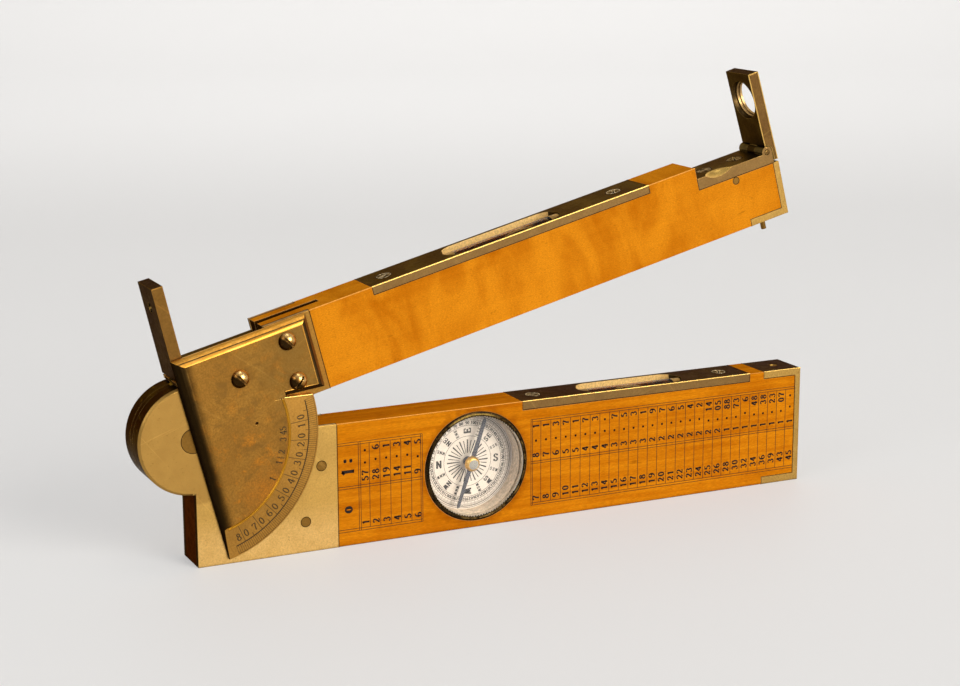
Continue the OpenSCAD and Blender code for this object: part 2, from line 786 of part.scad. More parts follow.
// Leaf with its middle knuckle and a heel behind the axis, standing upright
module sight_leaf(height) {
    difference() {
        union() {
            slab_y(leaf_side_gap, arm_thick - leaf_side_gap) polygon([
                [-leaf_in, 0], [-leaf_in, height], [leaf_out, height], [leaf_out, -heel_len],
                [knuckle_r + leaf_clear, -heel_len], [knuckle_r + leaf_clear, 0]
            ]);
            rod_y(knuckle_r, knuckle_w + knuckle_side_gap, arm_thick - knuckle_w - knuckle_side_gap);
        }
        rod_y(knuckle_r + leaf_clear, -eps, knuckle_w + knuckle_side_gap);
        rod_y(knuckle_r + leaf_clear, arm_thick - knuckle_w - knuckle_side_gap, arm_thick + eps);
        rod_y(hinge_pin_r + hinge_clear, -eps, arm_thick + eps);
    }
}

module base_screws(screws, shank_r) {
    for (x = screws)
        translate([-x, mid_y, -axis_rise])
            flat_screw(base_screw_r, shank_r, base_t + base_screw_grip, x * 11);
}

module front_sight_base() {
    color(brass) at_front_sight() difference() {
        sight_base(front_axis_u - upper_end + front_recess, base_screw_in, front_shank_r);
        translate([-scoop_in, -scoop_out, scoop_rise - axis_rise]) sphere(r = scoop_r);
    }
}

module front_sight_pin() {
    color(steel) at_front_sight() rod_y(hinge_pin_r, 0, arm_thick);
}

module front_base_screws() {
    color(brass) at_front_sight() base_screws(base_screw_in, front_shank_r);
}

module front_sight_leaf() {
    color(brass) at_front_sight() rotate([0, -front_lean, 0]) difference() {
        sight_leaf(front_leaf_h);
        translate([-leaf_in - eps, mid_y, ring_h]) rotate([0, 90, 0])
            cylinder(r = ring_bore_r, h = leaf_t + 2 * eps);
    }
}

// Turned ring set in the outer half of the front leaf's bore, with a groove inside
module front_sight_ring() {
    ring_t = 1.3;
    color(pale_brass) at_front_sight() rotate([0, -front_lean, 0])
        translate([leaf_out - ring_t, mid_y, ring_h]) rotate([0, 90, 0]) rotate_extrude() polygon([
            [ring_bore_r, 0], [ring_bore_r, ring_t], [ring_hole_r, ring_t], [ring_hole_r, 0.75],
            [ring_bore_r - 0.2, 0.7], [ring_bore_r - 0.2, 0.4], [ring_hole_r + 0.2, 0.35],
            [ring_hole_r + 0.2, 0]
        ]);
}

module rear_sight_base() {
    color(brass) at_rear_sight() sight_base(rear_recess - rear_axis_u, rear_screw_in, rear_shank_r);
}

module rear_sight_pin() {
    color(steel) at_rear_sight() rod_y(hinge_pin_r, 0, arm_thick);
}

module rear_base_screws() {
    color(brass) at_rear_sight() base_screws(rear_screw_in, rear_shank_r);
}

module rear_sight_leaf() {
    color(brass) at_rear_sight() rotate([0, -rear_lean, 0]) difference() {
        sight_leaf(rear_leaf_h);
        translate([-leaf_in - eps, mid_y, peep_h]) rotate([0, 90, 0])
            cylinder(r = peep_r, h = leaf_t + 2 * eps);
        translate([-leaf_in, mid_y, peep_h]) rotate([0, 90, 0])
            cylinder(r1 = peep_r + 0.8, r2 = peep_r, h = 0.8);
    }
}

// Upper arm's far end

module upper_end_cap() {
    color(pale_brass) at_upper() difference() {
        translate([upper_end - cap_len, 0, upper_inner])
            cube([cap_len, arm_thick, base_bottom - upper_inner]);
        translate([upper_end - cap_len - eps, -eps, upper_inner + upper_cap_leg_t])
            cube([cap_len - upper_cap_end_t + eps, arm_thick + 2 * eps, base_bottom]);
        locating_rod();
    }
}

module cross_pin_rod() {
    translate([upper_end - 12.2, 0, base_bottom - 0.95]) rod_y(0.85, 0, arm_thick);
}

module cross_pin() {
    color(dark_brass) at_upper() cross_pin_rod();
}

module locating_rod() {
    translate([upper_end - locate_end, mid_y, upper_inner - locate_len])
        cylinder(r = locate_r, h = locate_len + upper_cap_leg_t + locate_root);
}

module locating_pin() {
    color(dark_brass) at_upper() locating_rod();
}

lower_wood();
joint_leaf_front();
joint_leaf_back();
joint_pin();
leaf_rivets();
lower_level_plate();
lower_vial();
lower_vial_plugs();
lower_vial_bed();
lower_level_screws();
lower_end_cap();
compass_bowl();
compass_bezel();
compass_glass();
compass_dial();
compass_post();
compass_needle();
needle_cap();
upper_wood();
joint_tongue();
upper_plate_front();
upper_plate_back();
upper_rivets();
quadrant();
quadrant_screws();
upper_level_plate();
upper_vial();
upper_vial_plugs();
upper_vial_bed();
upper_level_screws();
front_sight_base();
front_sight_pin();
front_base_screws();
front_sight_leaf();
front_sight_ring();
rear_sight_base();
rear_sight_pin();
rear_base_screws();
rear_sight_leaf();
upper_end_cap();
cross_pin();
locating_pin();
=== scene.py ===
import json
import math

import bmesh
import bpy
from bpy.props import FloatProperty, FloatVectorProperty, IntProperty, PointerProperty
from mathutils import Matrix, Vector
from mathutils.bvhtree import BVHTree


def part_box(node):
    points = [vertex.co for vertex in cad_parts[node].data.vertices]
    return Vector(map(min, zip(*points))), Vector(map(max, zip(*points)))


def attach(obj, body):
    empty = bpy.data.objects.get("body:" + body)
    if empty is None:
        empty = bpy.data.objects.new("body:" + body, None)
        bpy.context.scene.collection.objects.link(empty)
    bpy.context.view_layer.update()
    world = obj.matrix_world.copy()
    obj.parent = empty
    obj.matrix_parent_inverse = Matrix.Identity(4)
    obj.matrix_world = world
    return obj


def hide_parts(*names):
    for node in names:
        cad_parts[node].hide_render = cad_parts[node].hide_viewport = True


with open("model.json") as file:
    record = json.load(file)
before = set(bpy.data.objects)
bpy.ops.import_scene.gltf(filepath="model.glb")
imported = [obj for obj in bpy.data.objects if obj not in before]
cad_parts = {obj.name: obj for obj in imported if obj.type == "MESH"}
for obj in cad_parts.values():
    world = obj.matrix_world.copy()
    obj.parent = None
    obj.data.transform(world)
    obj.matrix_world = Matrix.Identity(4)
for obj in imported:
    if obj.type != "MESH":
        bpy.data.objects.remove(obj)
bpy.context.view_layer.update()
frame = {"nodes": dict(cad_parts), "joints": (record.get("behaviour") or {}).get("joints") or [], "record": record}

bl_info = {
    "name": "Pocket clinometer",
    "version": (1, 0, 0),
    "blender": (4, 5, 0),
    "location": "View3D > Sidebar > Clinometer",
    "description": "Finishes and markings of a folding boxwood and brass clinometer",
    "category": "Object",
}

MM = 0.001
JOINTS = {joint["name"]: joint for joint in frame["joints"]}
BODY_NODES = frame["record"]["behaviour"]["bodies"]

# Places: the knuckle's and the compass's centre, the lower arm's low near corner, and front faces
PIVOT = Vector(JOINTS["knuckle"]["pos_m"])
COMPASS = Vector(JOINTS["needle_turn"]["pos_m"])
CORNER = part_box("lower_wood")[0]
ARM_FACE = CORNER.y
DIAL_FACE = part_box("compass_dial")[0].y
QUADRANT_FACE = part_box("quadrant")[0].y

# The upper arm's own directions: along it from the knuckle, into its front, and up across it
OPENING = -math.radians(JOINTS["knuckle"]["range_deg"][0])
INTO_UPPER = Matrix.Rotation(OPENING, 4, "Y") @ Matrix.Translation(-PIVOT)
FROM_UPPER = INTO_UPPER.inverted()

# Turns local X, Y and Z into along the lower arm, up it and out of its front
FACE_OUT = Matrix(((1, 0, 0, 0), (0, 0, -1, 0), (0, 1, 0, 0), (0, 0, 0, 1)))

# Points this close are one, faces this level are one, and edges this steep are sharp
SAME_PLACE = 1.5e-6
FLAT = math.radians(0.6)
SHARP = math.radians(38)


# Settings


class WoodSettings(bpy.types.PropertyGroup):
    honey: FloatVectorProperty(
        name="Honey", description="Main colour of the boxwood",
        default=(0.72, 0.252, 0.009), subtype="COLOR", min=0, max=1)
    amber: FloatVectorProperty(
        name="Amber", description="Colour of the darker figure in the boxwood",
        default=(0.47, 0.126, 0.002), subtype="COLOR", min=0, max=1)
    edge_round: FloatProperty(
        name="Edge rounding", description="Worn rounding of the arms' long edges",
        default=0.22 * MM, min=0.0, unit="LENGTH")
    seam: FloatProperty(
        name="Seam", description="Width of the dark lines where flush pieces meet",
        default=0.16 * MM, min=0.0, unit="LENGTH")


class BrassSettings(bpy.types.PropertyGroup):
    clean: FloatVectorProperty(
        name="Clean brass", description="Colour of the polished side plates and discs",
        default=(0.62, 0.365, 0.090), subtype="COLOR", min=0, max=1)
    patina: FloatVectorProperty(
        name="Patina", description="Colour of the olive brown patina on the quadrant",
        default=(0.36, 0.180, 0.034), subtype="COLOR", min=0, max=1)
    stain: FloatVectorProperty(
        name="Stain", description="Colour of the orange stains in the patina",
        default=(0.46, 0.18, 0.022), subtype="COLOR", min=0, max=1)
    dark: FloatVectorProperty(
        name="Dark brass", description="Colour of the darkest patina, on the tops of plates",
        default=(0.125, 0.084, 0.030), subtype="COLOR", min=0, max=1)
    gold: FloatVectorProperty(
        name="Gold edge", description="Colour of edges and turned parts rubbed bright",
        default=(0.88, 0.53, 0.13), subtype="COLOR", min=0, max=1)
    edge_round: FloatProperty(
        name="Edge rounding", description="Rounding of the brass pieces' edges",
        default=0.07 * MM, min=0.0, unit="LENGTH")


class InkSettings(bpy.types.PropertyGroup):
    ink: FloatVectorProperty(
        name="Ink", description="Colour of the printed rules and figures",
        default=(0.022, 0.014, 0.010), subtype="COLOR", min=0, max=1)
    lift: FloatProperty(
        name="Lift", description="Height of the ink above the surface that it is printed on",
        default=0.015 * MM, min=0.0, unit="LENGTH")
    rule_width: FloatProperty(
        name="Rule width", description="Width of the tables' lines",
        default=0.11 * MM, min=0.0, unit="LENGTH")
    figure_height: FloatProperty(
        name="Figure height", description="Height of the tables' figures",
        default=1.62 * MM, min=0.0, unit="LENGTH")
    figure_step: FloatProperty(
        name="Figure step", description="Distance from one figure of a number to the next",
        default=1.32 * MM, min=0.0, unit="LENGTH")


class QuadrantSettings(bpy.types.PropertyGroup):
    rim: FloatProperty(
        name="Rim radius", description="Outer radius of the scale band",
        default=27.9 * MM, unit="LENGTH")
    step: FloatProperty(
        name="Step radius", description="Radius of the step where the band starts",
        default=20.9 * MM, unit="LENGTH")
    line: FloatProperty(
        name="Line radius", description="Radius of the line under the degree divisions",
        default=25.6 * MM, unit="LENGTH")
    step_depth: FloatProperty(
        name="Depth at the step", description="Depth of the band's face at the step",
        default=0.8 * MM, unit="LENGTH")
    rim_depth: FloatProperty(
        name="Depth at the rim", description="Depth of the band's face at the rim",
        default=1.6 * MM, unit="LENGTH")
    degrees: IntProperty(
        name="Degrees", description="Number of degrees on the scale", default=85, min=10, max=90)


class CompassSettings(bpy.types.PropertyGroup):
    silver: FloatVectorProperty(
        name="Silvering", description="Colour of the silvered compass card",
        default=(0.58, 0.495, 0.410), subtype="COLOR", min=0, max=1)
    rose: FloatProperty(
        name="Rose radius", description="Radius of the circle round the rose",
        default=5.88 * MM, unit="LENGTH")
    names: FloatProperty(
        name="Name ring", description="Radius of the circle outside the compass points",
        default=8.4 * MM, unit="LENGTH")
    figures: FloatProperty(
        name="Figure ring", description="Radius of the circle outside the degree figures",
        default=9.6 * MM, unit="LENGTH")
    ticks: FloatProperty(
        name="Tick ring", description="Radius of the circle outside the degree ticks",
        default=10.67 * MM, unit="LENGTH")


class StageSettings(bpy.types.PropertyGroup):
    floor: FloatVectorProperty(
        name="Floor", description="Colour of the plain floor and backdrop",
        default=(0.80, 0.79, 0.78), subtype="COLOR", min=0, max=1)
    even: FloatProperty(
        name="Evenness", description="Share of the floor's brightness that no lamp changes",
        default=0.5, min=0, max=1, subtype="FACTOR")
    sky: FloatProperty(
        name="Sky", description="Strength of the plain light from all round",
        default=0.36, min=0)
    key: FloatProperty(
        name="Key", description="Power of the large soft lamp",
        default=48.0, min=0, unit="POWER")
    fill: FloatProperty(
        name="Fill", description="Power of the small soft lamp",
        default=1.6, min=0, unit="POWER")
    top: FloatProperty(
        name="Top", description="Power of the small soft lamp overhead",
        default=0.7, min=0, unit="POWER")
    back: FloatProperty(
        name="Back", description="Power of the lamp on the backdrop",
        default=8.0, min=0, unit="POWER")
    lens: FloatProperty(
        name="Lens", description="Focal length of the camera on a 36 mm wide sensor",
        default=77.402 * MM, unit="LENGTH")


# Small tools


def times(colour, share):
    """A colour times one share, or times a share for each of its three parts."""
    shares = share if isinstance(share, tuple) else (share,) * 3
    return tuple(part * k for part, k in zip(colour, shares))


def body_turn(body):
    """Turns the frame's directions into those of the arm that carries a body."""
    return Matrix.Identity(4) if body in ("lower_arm", "needle") else INTO_UPPER


def points_of(node, body):
    """A CAD node's corners, in the directions of the arm that carries the body."""
    turn = body_turn(body)
    return [turn @ v.co for v in frame["nodes"][node].data.vertices]


def extent(points):
    """The lowest and the highest corner round a list of points."""
    return [Vector(limit(p[k] for p in points) for k in range(3)) for limit in (min, max)]


def circle(radius, parts):
    """Points round a circle, in its own plane."""
    turns = [math.tau * i / parts for i in range(parts)]
    return [(radius * math.cos(a), radius * math.sin(a)) for a in turns]


def feed(tree, node, feeds):
    """Sets a node's inputs, by name or index, to values or to other nodes' sockets."""
    for key, value in feeds.items():
        if isinstance(value, bpy.types.NodeSocket):
            tree.links.new(value, node.inputs[key])
        else:
            node.inputs[key].default_value = value


def add(tree, kind, feeds=None, **choices):
    """Adds a node, makes its choices and feeds its inputs."""
    made = tree.nodes.new(kind)
    for name, value in choices.items():
        setattr(made, name, value)
    feed(tree, made, feeds or {})
    return made


def maths(tree, operation, a, b=0.0, clamp=False):
    return add(tree, "ShaderNodeMath", {0: a, 1: b}, operation=operation,
               use_clamp=clamp).outputs[0]


def vector_maths(tree, operation, a, b=(0, 0, 0)):
    """A vector, or a number where the operation gives one."""
    outputs = add(tree, "ShaderNodeVectorMath", {0: a, 1: b}, operation=operation).outputs
    return outputs["Value" if operation in ("DOT_PRODUCT", "LENGTH") else "Vector"]


def vector(tree, x=0.0, y=0.0, z=0.0):
    return add(tree, "ShaderNodeCombineXYZ", {0: x, 1: y, 2: z}).outputs[0]


def part_of(tree, whole, axis):
    """One part of a vector: X, Y or Z."""
    return add(tree, "ShaderNodeSeparateXYZ", {0: whole}).outputs[axis]


# A Mix node's sockets: 0 is the share, 2 and 3 are the numbers, 6 and 7 the colours


def blend(tree, share, low, high):
    """Mixes two numbers."""
    return add(tree, "ShaderNodeMix", {0: share, 2: low, 3: high}).outputs[0]


def blend_colour(tree, share, low, high):
    """Mixes two colours."""
    low, high = (c if isinstance(c, bpy.types.NodeSocket) else (*c, 1) for c in (low, high))
    return add(tree, "ShaderNodeMix", {0: share, 6: low, 7: high}, data_type="RGBA").outputs[2]


def layered(tree, colour, layers):
    """Lays colours over a colour; each layer is a mask, its share and its colour."""
    for mask, share, other in layers:
        colour = blend_colour(tree, maths(tree, "MULTIPLY", mask, share), colour, other)
    return colour


def mixed_shader(tree, share, first, second):
    return add(tree, "ShaderNodeMixShader", {0: share, 1: first, 2: second}).outputs[0]


def spread(tree, value, low, high, to_low=0.0, to_high=1.0):
    """Maps a value from one range to another, with soft ends."""
    return add(tree, "ShaderNodeMapRange", {0: value, 1: low, 2: high, 3: to_low, 4: to_high},
               interpolation_type="SMOOTHSTEP").outputs[0]


def noise(tree, place, scale, detail=3.0, rough=0.55, distort=0.0):
    return add(tree, "ShaderNodeTexNoise", {
        "Vector": place, "Scale": scale, "Detail": detail, "Roughness": rough,
        "Distortion": distort}).outputs["Fac"]


def stretched(tree, place, scale):
    return add(tree, "ShaderNodeMapping", {"Vector": place, "Scale": scale}).outputs[0]


def object_place(tree):
    return add(tree, "ShaderNodeTexCoord").outputs["Object"]


def ragged(tree, place, width, scale, detail=3.0, rough=0.55):
    """A wandering distance, as wide as width in all, that makes a border ragged."""
    wander = maths(tree, "SUBTRACT", noise(tree, place, scale, detail, rough), 0.5)
    return maths(tree, "MULTIPLY", wander, width)


def flat_way(tree, place, spot):
    """The way from a spot to the place, as seen from the front."""
    away = vector_maths(tree, "SUBTRACT", place, tuple(spot))
    return vector_maths(tree, "MULTIPLY", away, (1, 0, 1))


def facing(tree, direction, way, low, high):
    """A mask that grows as a direction turns toward way."""
    return spread(tree, vector_maths(tree, "DOT_PRODUCT", direction, way), low, high)


def new_group(kind, name, inputs, outputs):
    """Starts a node group; an input is a name, a kind of socket and perhaps its default."""
    tree = bpy.data.node_groups.new(name, kind)
    for label, socket_kind, *default in inputs:
        socket = tree.interface.new_socket(
            label, in_out="INPUT", socket_type="NodeSocket" + socket_kind)
        if default:
            socket.default_value = default[0]
    for label, socket_kind in outputs:
        tree.interface.new_socket(label, in_out="OUTPUT", socket_type="NodeSocket" + socket_kind)
    return tree, add(tree, "NodeGroupInput").outputs, add(tree, "NodeGroupOutput")


# Shader groups shared by the finishes


def edge_wear_group():
    """Finds edges with a rounded normal: a mask that is 1 along an edge, and that normal."""
    tree, given, out = new_group(
        "ShaderNodeTree", "Edge wear", [("Radius", "Float", 0.15 * MM), ("Breakup", "Float", 0.5)],
        [("Edge", "Float"), ("Normal", "Vector")])
    rounded = add(tree, "ShaderNodeBevel", {"Radius": given["Radius"]}, samples=6).outputs[0]
    flat = add(tree, "ShaderNodeNewGeometry").outputs["True Normal"]
    turned = maths(tree, "SUBTRACT", 1.0, vector_maths(tree, "DOT_PRODUCT", rounded, flat))
    patchy = spread(tree, noise(tree, object_place(tree), 900.0), 0.35, 0.65, 0.35, 1.0)
    patchy = blend(tree, given["Breakup"], 1.0, patchy)
    edge = maths(tree, "MULTIPLY", spread(tree, turned, 0.01, 0.16), patchy)
    feed(tree, out, {"Edge": edge, "Normal": rounded})


def tarnish_group():
    """Broad patches, clouds, fine mottle and specks of old brass."""
    tree, given, out = new_group(
        "ShaderNodeTree", "Tarnish",
        [("Vector", "Vector"), ("Patch scale", "Float", 120.0), ("Speck scale", "Float", 1700.0)],
        [("Patches", "Float"), ("Clouds", "Float"), ("Mottle", "Float"), ("Specks", "Float")])
    for name, base, factor, detail, rough, distort, low, high in (
            ("Patches", "Patch scale", 1.0, 6.0, 0.62, 0.35, 0.42, 0.62),
            ("Clouds", "Patch scale", 4.0, 5.0, 0.65, 0.0, 0.34, 0.66),
            ("Mottle", "Speck scale", 1.4, 5.0, 0.70, 0.0, 0.34, 0.66),
            ("Specks", "Speck scale", 1.0, 3.0, 0.70, 0.0, 0.61, 0.70)):
        scale = maths(tree, "MULTIPLY", given[base], factor)
        value = noise(tree, given["Vector"], scale, detail, rough, distort)
        feed(tree, out, {name: spread(tree, value, low, high)})


def scratch_group():
    """Hairline scratches in two directions, with their height."""
    tree, given, out = new_group(
        "ShaderNodeTree", "Hairlines", [("Vector", "Vector"), ("Scale", "Float", 260.0)],
        [("Lines", "Float"), ("Height", "Float")])
    lines = []
    for turn, seed in ((0.35, 3.0), (-0.9, 11.0)):
        turned = add(tree, "ShaderNodeMapping", {
            "Vector": given["Vector"], "Location": (seed, seed, seed),
            "Rotation": (0.0, turn, 0.0)}).outputs[0]
        thin = stretched(tree, turned, (0.06, 1.0, 3.2))
        lines.append(spread(tree, noise(tree, thin, given["Scale"], 6.0, 0.75), 0.60, 0.70))
    both = maths(tree, "ADD", *lines, clamp=True)
    feed(tree, out, {"Lines": both, "Height": maths(tree, "MULTIPLY", both, -1.0)})


def grime_group():
    """Painted shade and dirt in seams and corners: darker where ambient occlusion finds them closed in."""
    tree, given, out = new_group(
        "ShaderNodeTree", "Seam shade and dirt", [("Reach", "Float", 0.8 * MM)], [("Shade and dirt", "Float")])
    shelter = add(tree, "ShaderNodeAmbientOcclusion", {"Distance": given["Reach"]},
                  samples=6, only_local=False).outputs["AO"]
    patchy = spread(tree, noise(tree, object_place(tree), 1100.0, 4.0), 0.3, 0.7, 0.45, 1.0)
    closed = spread(tree, shelter, 0.95, 0.35)
    feed(tree, out, {"Shade and dirt": maths(tree, "MULTIPLY", closed, patchy, clamp=True)})


def boxwood_group():
    """Boxwood: a soft cross figure, fine grain along the arm, pores and short dark flecks."""
    tree, given, out = new_group(
        "ShaderNodeTree", "Boxwood grain",
        [("Vector", "Vector"), ("Figure", "Float", 0.6), ("Run", "Float", 0.14)],
        [("Tone", "Float"), ("Fibres", "Float"), ("Dashes", "Float"), ("Flecks", "Float"),
         ("Height", "Float")])
    place = given["Vector"]
    curl = noise(tree, stretched(tree, place, (1.0, 0.5, 0.42)), 95.0, 4.0, 0.55, 0.8)
    broad = noise(tree, stretched(tree, place, (0.5, 1.0, 1.3)), 40.0, 3.0, 0.5, 0.4)
    figure = maths(tree, "ADD", maths(tree, "MULTIPLY", curl, 0.65),
                   maths(tree, "MULTIPLY", broad, 0.35))
    straight = noise(tree, stretched(tree, place, (0.08, 1.0, 1.6)), 420.0, 5.0, 0.6, 0.1)
    tone = blend(tree, given["Figure"], spread(tree, straight, 0.32, 0.70),
                 spread(tree, figure, 0.36, 0.62))
    drawn = vector_maths(tree, "MULTIPLY", place, vector(tree, given["Run"], 1.0, 1.0))
    fibres = noise(tree, drawn, 5200.0, 4.0, 0.65)
    dashes = noise(tree, drawn, 3000.0, 3.0, 0.6)
    flecks = noise(tree, drawn, 900.0, 2.0, 0.5)
    feed(tree, out, {"Tone": tone, "Fibres": spread(tree, fibres, 0.38, 0.68), "Height": fibres,
                     "Dashes": spread(tree, dashes, 0.55, 0.68),
                     "Flecks": spread(tree, flecks, 0.70, 0.78)})


# Kinds of finish


def use(tree, group, feeds=None):
    """Places a shader group in a material and returns its outputs."""
    return add(tree, "ShaderNodeGroup", feeds, node_tree=bpy.data.node_groups[group]).outputs


def place_in(tree, arm):
    """Object coordinates in metres, turned to run along the arm."""
    place = object_place(tree)
    if arm == "lower":
        return place
    back = vector_maths(tree, "SUBTRACT", place, tuple(PIVOT))
    return add(tree, "ShaderNodeVectorRotate", {"Vector": back, "Angle": OPENING},
               rotation_type="Y_AXIS").outputs[0]


def start_material(name):
    """A material with its Principled shader and its output."""
    made = bpy.data.materials.new(name)
    made.use_nodes = True
    tree = made.node_tree
    tree.nodes.clear()
    shader = add(tree, "ShaderNodeBsdfPrincipled")
    return tree, shader, add(tree, "ShaderNodeOutputMaterial", {0: shader.outputs[0]})


def bumped(tree, height, strength, distance, normal):
    return add(tree, "ShaderNodeBump", {
        "Height": height, "Strength": strength, "Distance": distance, "Normal": normal}).outputs[0]


def compass_halo(tree, place):
    """Painted shadow on the wood close round the compass case, as a ragged ring on the arm's front."""
    length = vector_maths(tree, "LENGTH", flat_way(tree, place, COMPASS))
    length = maths(tree, "ADD", length, ragged(tree, place, 5 * MM, 420.0, 4.0, 0.6))
    front = spread(tree, part_of(tree, place, "Y"), -4.0 * MM, -4.8 * MM)
    return maths(tree, "MULTIPLY", spread(tree, length, 14.6 * MM, 12.4 * MM), front)


def boxwood_finish(name, arm, honey, amber, figure, run, compass_shadow=False):
    """Boxwood of two colours, with pores, flecks, pale edges, painted shade and dirt in its seams, and perhaps a
    painted shadow round the compass.
    """
    tree, shader, _ = start_material(name)
    place = place_in(tree, arm)
    grain = use(tree, "Boxwood grain", {"Vector": place, "Figure": figure, "Run": run})
    shade_and_dirt = use(tree, "Seam shade and dirt", {"Reach": 0.9 * MM})["Shade and dirt"]
    wear = use(tree, "Edge wear", {"Radius": 0.3 * MM})
    colour = blend_colour(tree, grain["Tone"], amber, honey)
    if compass_shadow:
        # the colour of the painted shadow round the compass
        shade = times(amber, (0.55, 0.42, 1.0))
        colour = layered(tree, colour, [(compass_halo(tree, place), 0.5, shade)])
    pores = blend_colour(tree, 0.22, colour, (0, 0, 0))
    colour = blend_colour(tree, grain["Fibres"], pores, colour)
    colour = layered(tree, colour, [
        (grain["Dashes"], 0.35, times(amber, 0.62)), (grain["Flecks"], 0.38, times(amber, 0.38)),
        # the last layer is painted shade and dirt in the seams and corners
        (wear["Edge"], 0.55, (0.98, 0.56, 0.20)), (shade_and_dirt, 0.85, (0.045, 0.016, 0.004))])
    feed(tree, shader, {
        "Base Color": colour, "Specular IOR Level": 0.0,
        "Roughness": spread(tree, grain["Tone"], 0.0, 1.0, 0.46, 0.56),
        "Normal": bumped(tree, grain["Height"], 0.25, 0.02 * MM, wear["Normal"])})


def brass_finish(name, arm, base, patch, speck, bright, rough=(0.30, 0.46), patch_share=0.6,
                 patch_scale=120.0, speck_share=0.5, mottle_share=0.5, line_share=0.25,
                 edge_share=0.6, wear_radius=0.15 * MM, shade_and_dirt_share=0.9, reach=0.6 * MM,
                 tint=(1.0, 0.9, 0.7), zones=None, over=None):
    """Old brass: a base colour with patches and specks, bright hairlines and edges, and painted shade and dirt in
    its seams.

    zones lie under the clouds and over the patches, over lies on all but the seam shade and dirt, tint colours
    the gloss at a low angle, and reach and wear_radius are the widths of the seam shade and dirt and the edges.
    """
    tree, shader, _ = start_material(name)
    place = place_in(tree, arm)
    tarnish = use(tree, "Tarnish", {"Vector": place, "Patch scale": patch_scale})
    lines = use(tree, "Hairlines", {"Vector": place})
    wear = use(tree, "Edge wear", {"Radius": wear_radius})
    shade_and_dirt = use(tree, "Seam shade and dirt", {"Reach": reach})["Shade and dirt"]
    colour = layered(tree, base, [
        (tarnish["Patches"], patch_share, patch), *(zones(tree, place) if zones else ()),
        (tarnish["Clouds"], 0.35, times(base, 0.70)),
        (tarnish["Mottle"], mottle_share, times(base, 0.62)),
        (tarnish["Specks"], speck_share, speck), (lines["Lines"], line_share, bright),
        (wear["Edge"], edge_share, bright), *(over(tree, place) if over else ()),
        # painted shade and dirt in the seams and corners
        (shade_and_dirt, shade_and_dirt_share, (0.028, 0.014, 0.005))])
    dull = maths(tree, "ADD", maths(tree, "MULTIPLY", tarnish["Mottle"], 0.5),
                 maths(tree, "MULTIPLY", tarnish["Clouds"], 0.5), clamp=True)
    normal = bumped(tree, tarnish["Mottle"], 0.25, 0.012 * MM, wear["Normal"])
    feed(tree, shader, {
        "Base Color": colour, "Metallic": 1.0, "Specular Tint": (*tint, 1),
        "Roughness": spread(tree, dull, 0.0, 1.0, *rough),
        "Normal": bumped(tree, lines["Height"], 0.3, 0.004 * MM, normal)})


def quadrant_zones(tree, place):
    """Orange stains low on the quadrant, olive round its screws, and blotches all over."""
    wander = ragged(tree, place, 16 * MM, 170.0, 5.0, 0.65)
    stained, olive = (
        spread(tree, maths(tree, "ADD", vector_maths(tree, "LENGTH", flat_way(tree, place, spot)),
                           wander), far, near)
        for spot, near, far in (((13 * MM, 0, -16 * MM), 1 * MM, 9 * MM),
                                ((28 * MM, 0, 10 * MM), 5 * MM, 17 * MM)))
    brown = spread(tree, noise(tree, place, 210.0, 5.0, 0.7, 0.5), 0.50, 0.66)
    moved = vector_maths(tree, "ADD", place, (0.3, 0.1, 0.2))
    orange = spread(tree, noise(tree, moved, 260.0, 5.0, 0.7, 0.5), 0.52, 0.68)
    low = spread(tree, part_of(tree, place, "Z"), 8 * MM, -8 * MM, 0.35, 1.0)
    return ((stained, 0.75, (0.50, 0.17, 0.016)), (olive, 0.65, (0.185, 0.115, 0.030)),
            (brown, 0.7, (0.15, 0.078, 0.020)),
            (maths(tree, "MULTIPLY", orange, low), 0.85, (0.60, 0.21, 0.018)))


def index_zone(tree, place):
    """Painted shade down the quadrant's index edge, standing in for the dark reflection there, narrower toward its
    foot.
    """
    across = maths(tree, "ADD", part_of(tree, place, "X"),
                   ragged(tree, place, 0.8 * MM, 300.0, 4.0, 0.6))
    narrower = maths(tree, "MULTIPLY", part_of(tree, place, "Z"), 0.03)
    across = maths(tree, "SUBTRACT", across, narrower)
    return ((spread(tree, across, 3.9 * MM, 1.3 * MM), 0.97, (0.016, 0.009, 0.003)),)


def leaf_zones(tree, place):
    """A duller disc round the knuckle, and a painted pool of light on the foot below it."""
    length = vector_maths(tree, "LENGTH", flat_way(tree, place, PIVOT))
    height = part_of(tree, place, "Z")
    return ((spread(tree, length, 14.4 * MM, 13.6 * MM), 0.85, (0.37, 0.195, 0.044)),
            (spread(tree, height, 12 * MM, 4 * MM), 0.7, (0.88, 0.56, 0.20)))


def dome_zones(tree, place):
    """Round screw heads, with painted shade toward the lower left and a painted highlight toward the upper right.
    """
    normal = add(tree, "ShaderNodeTexCoord").outputs["Normal"]
    return ((facing(tree, normal, (-0.62, 0.0, -0.78), -0.10, 0.25), 0.95, (0.020, 0.010, 0.003)),
            (facing(tree, normal, (0.50, -0.2, 0.84), 0.30, 0.60), 0.90, (1.0, 0.62, 0.22)))


def crest_zones(tree, place):
    """The bezel's crest, with a painted highlight at the top and painted shade at the left."""
    way = vector_maths(tree, "NORMALIZE", flat_way(tree, place, COMPASS))
    return ((facing(tree, way, (-0.1, 0.0, 0.99), 0.86, 0.93), 0.92, (1.0, 0.66, 0.16)),
            (facing(tree, way, (-0.97, 0.0, -0.2), 0.3, 0.7), 0.8, (0.05, 0.03, 0.012)))


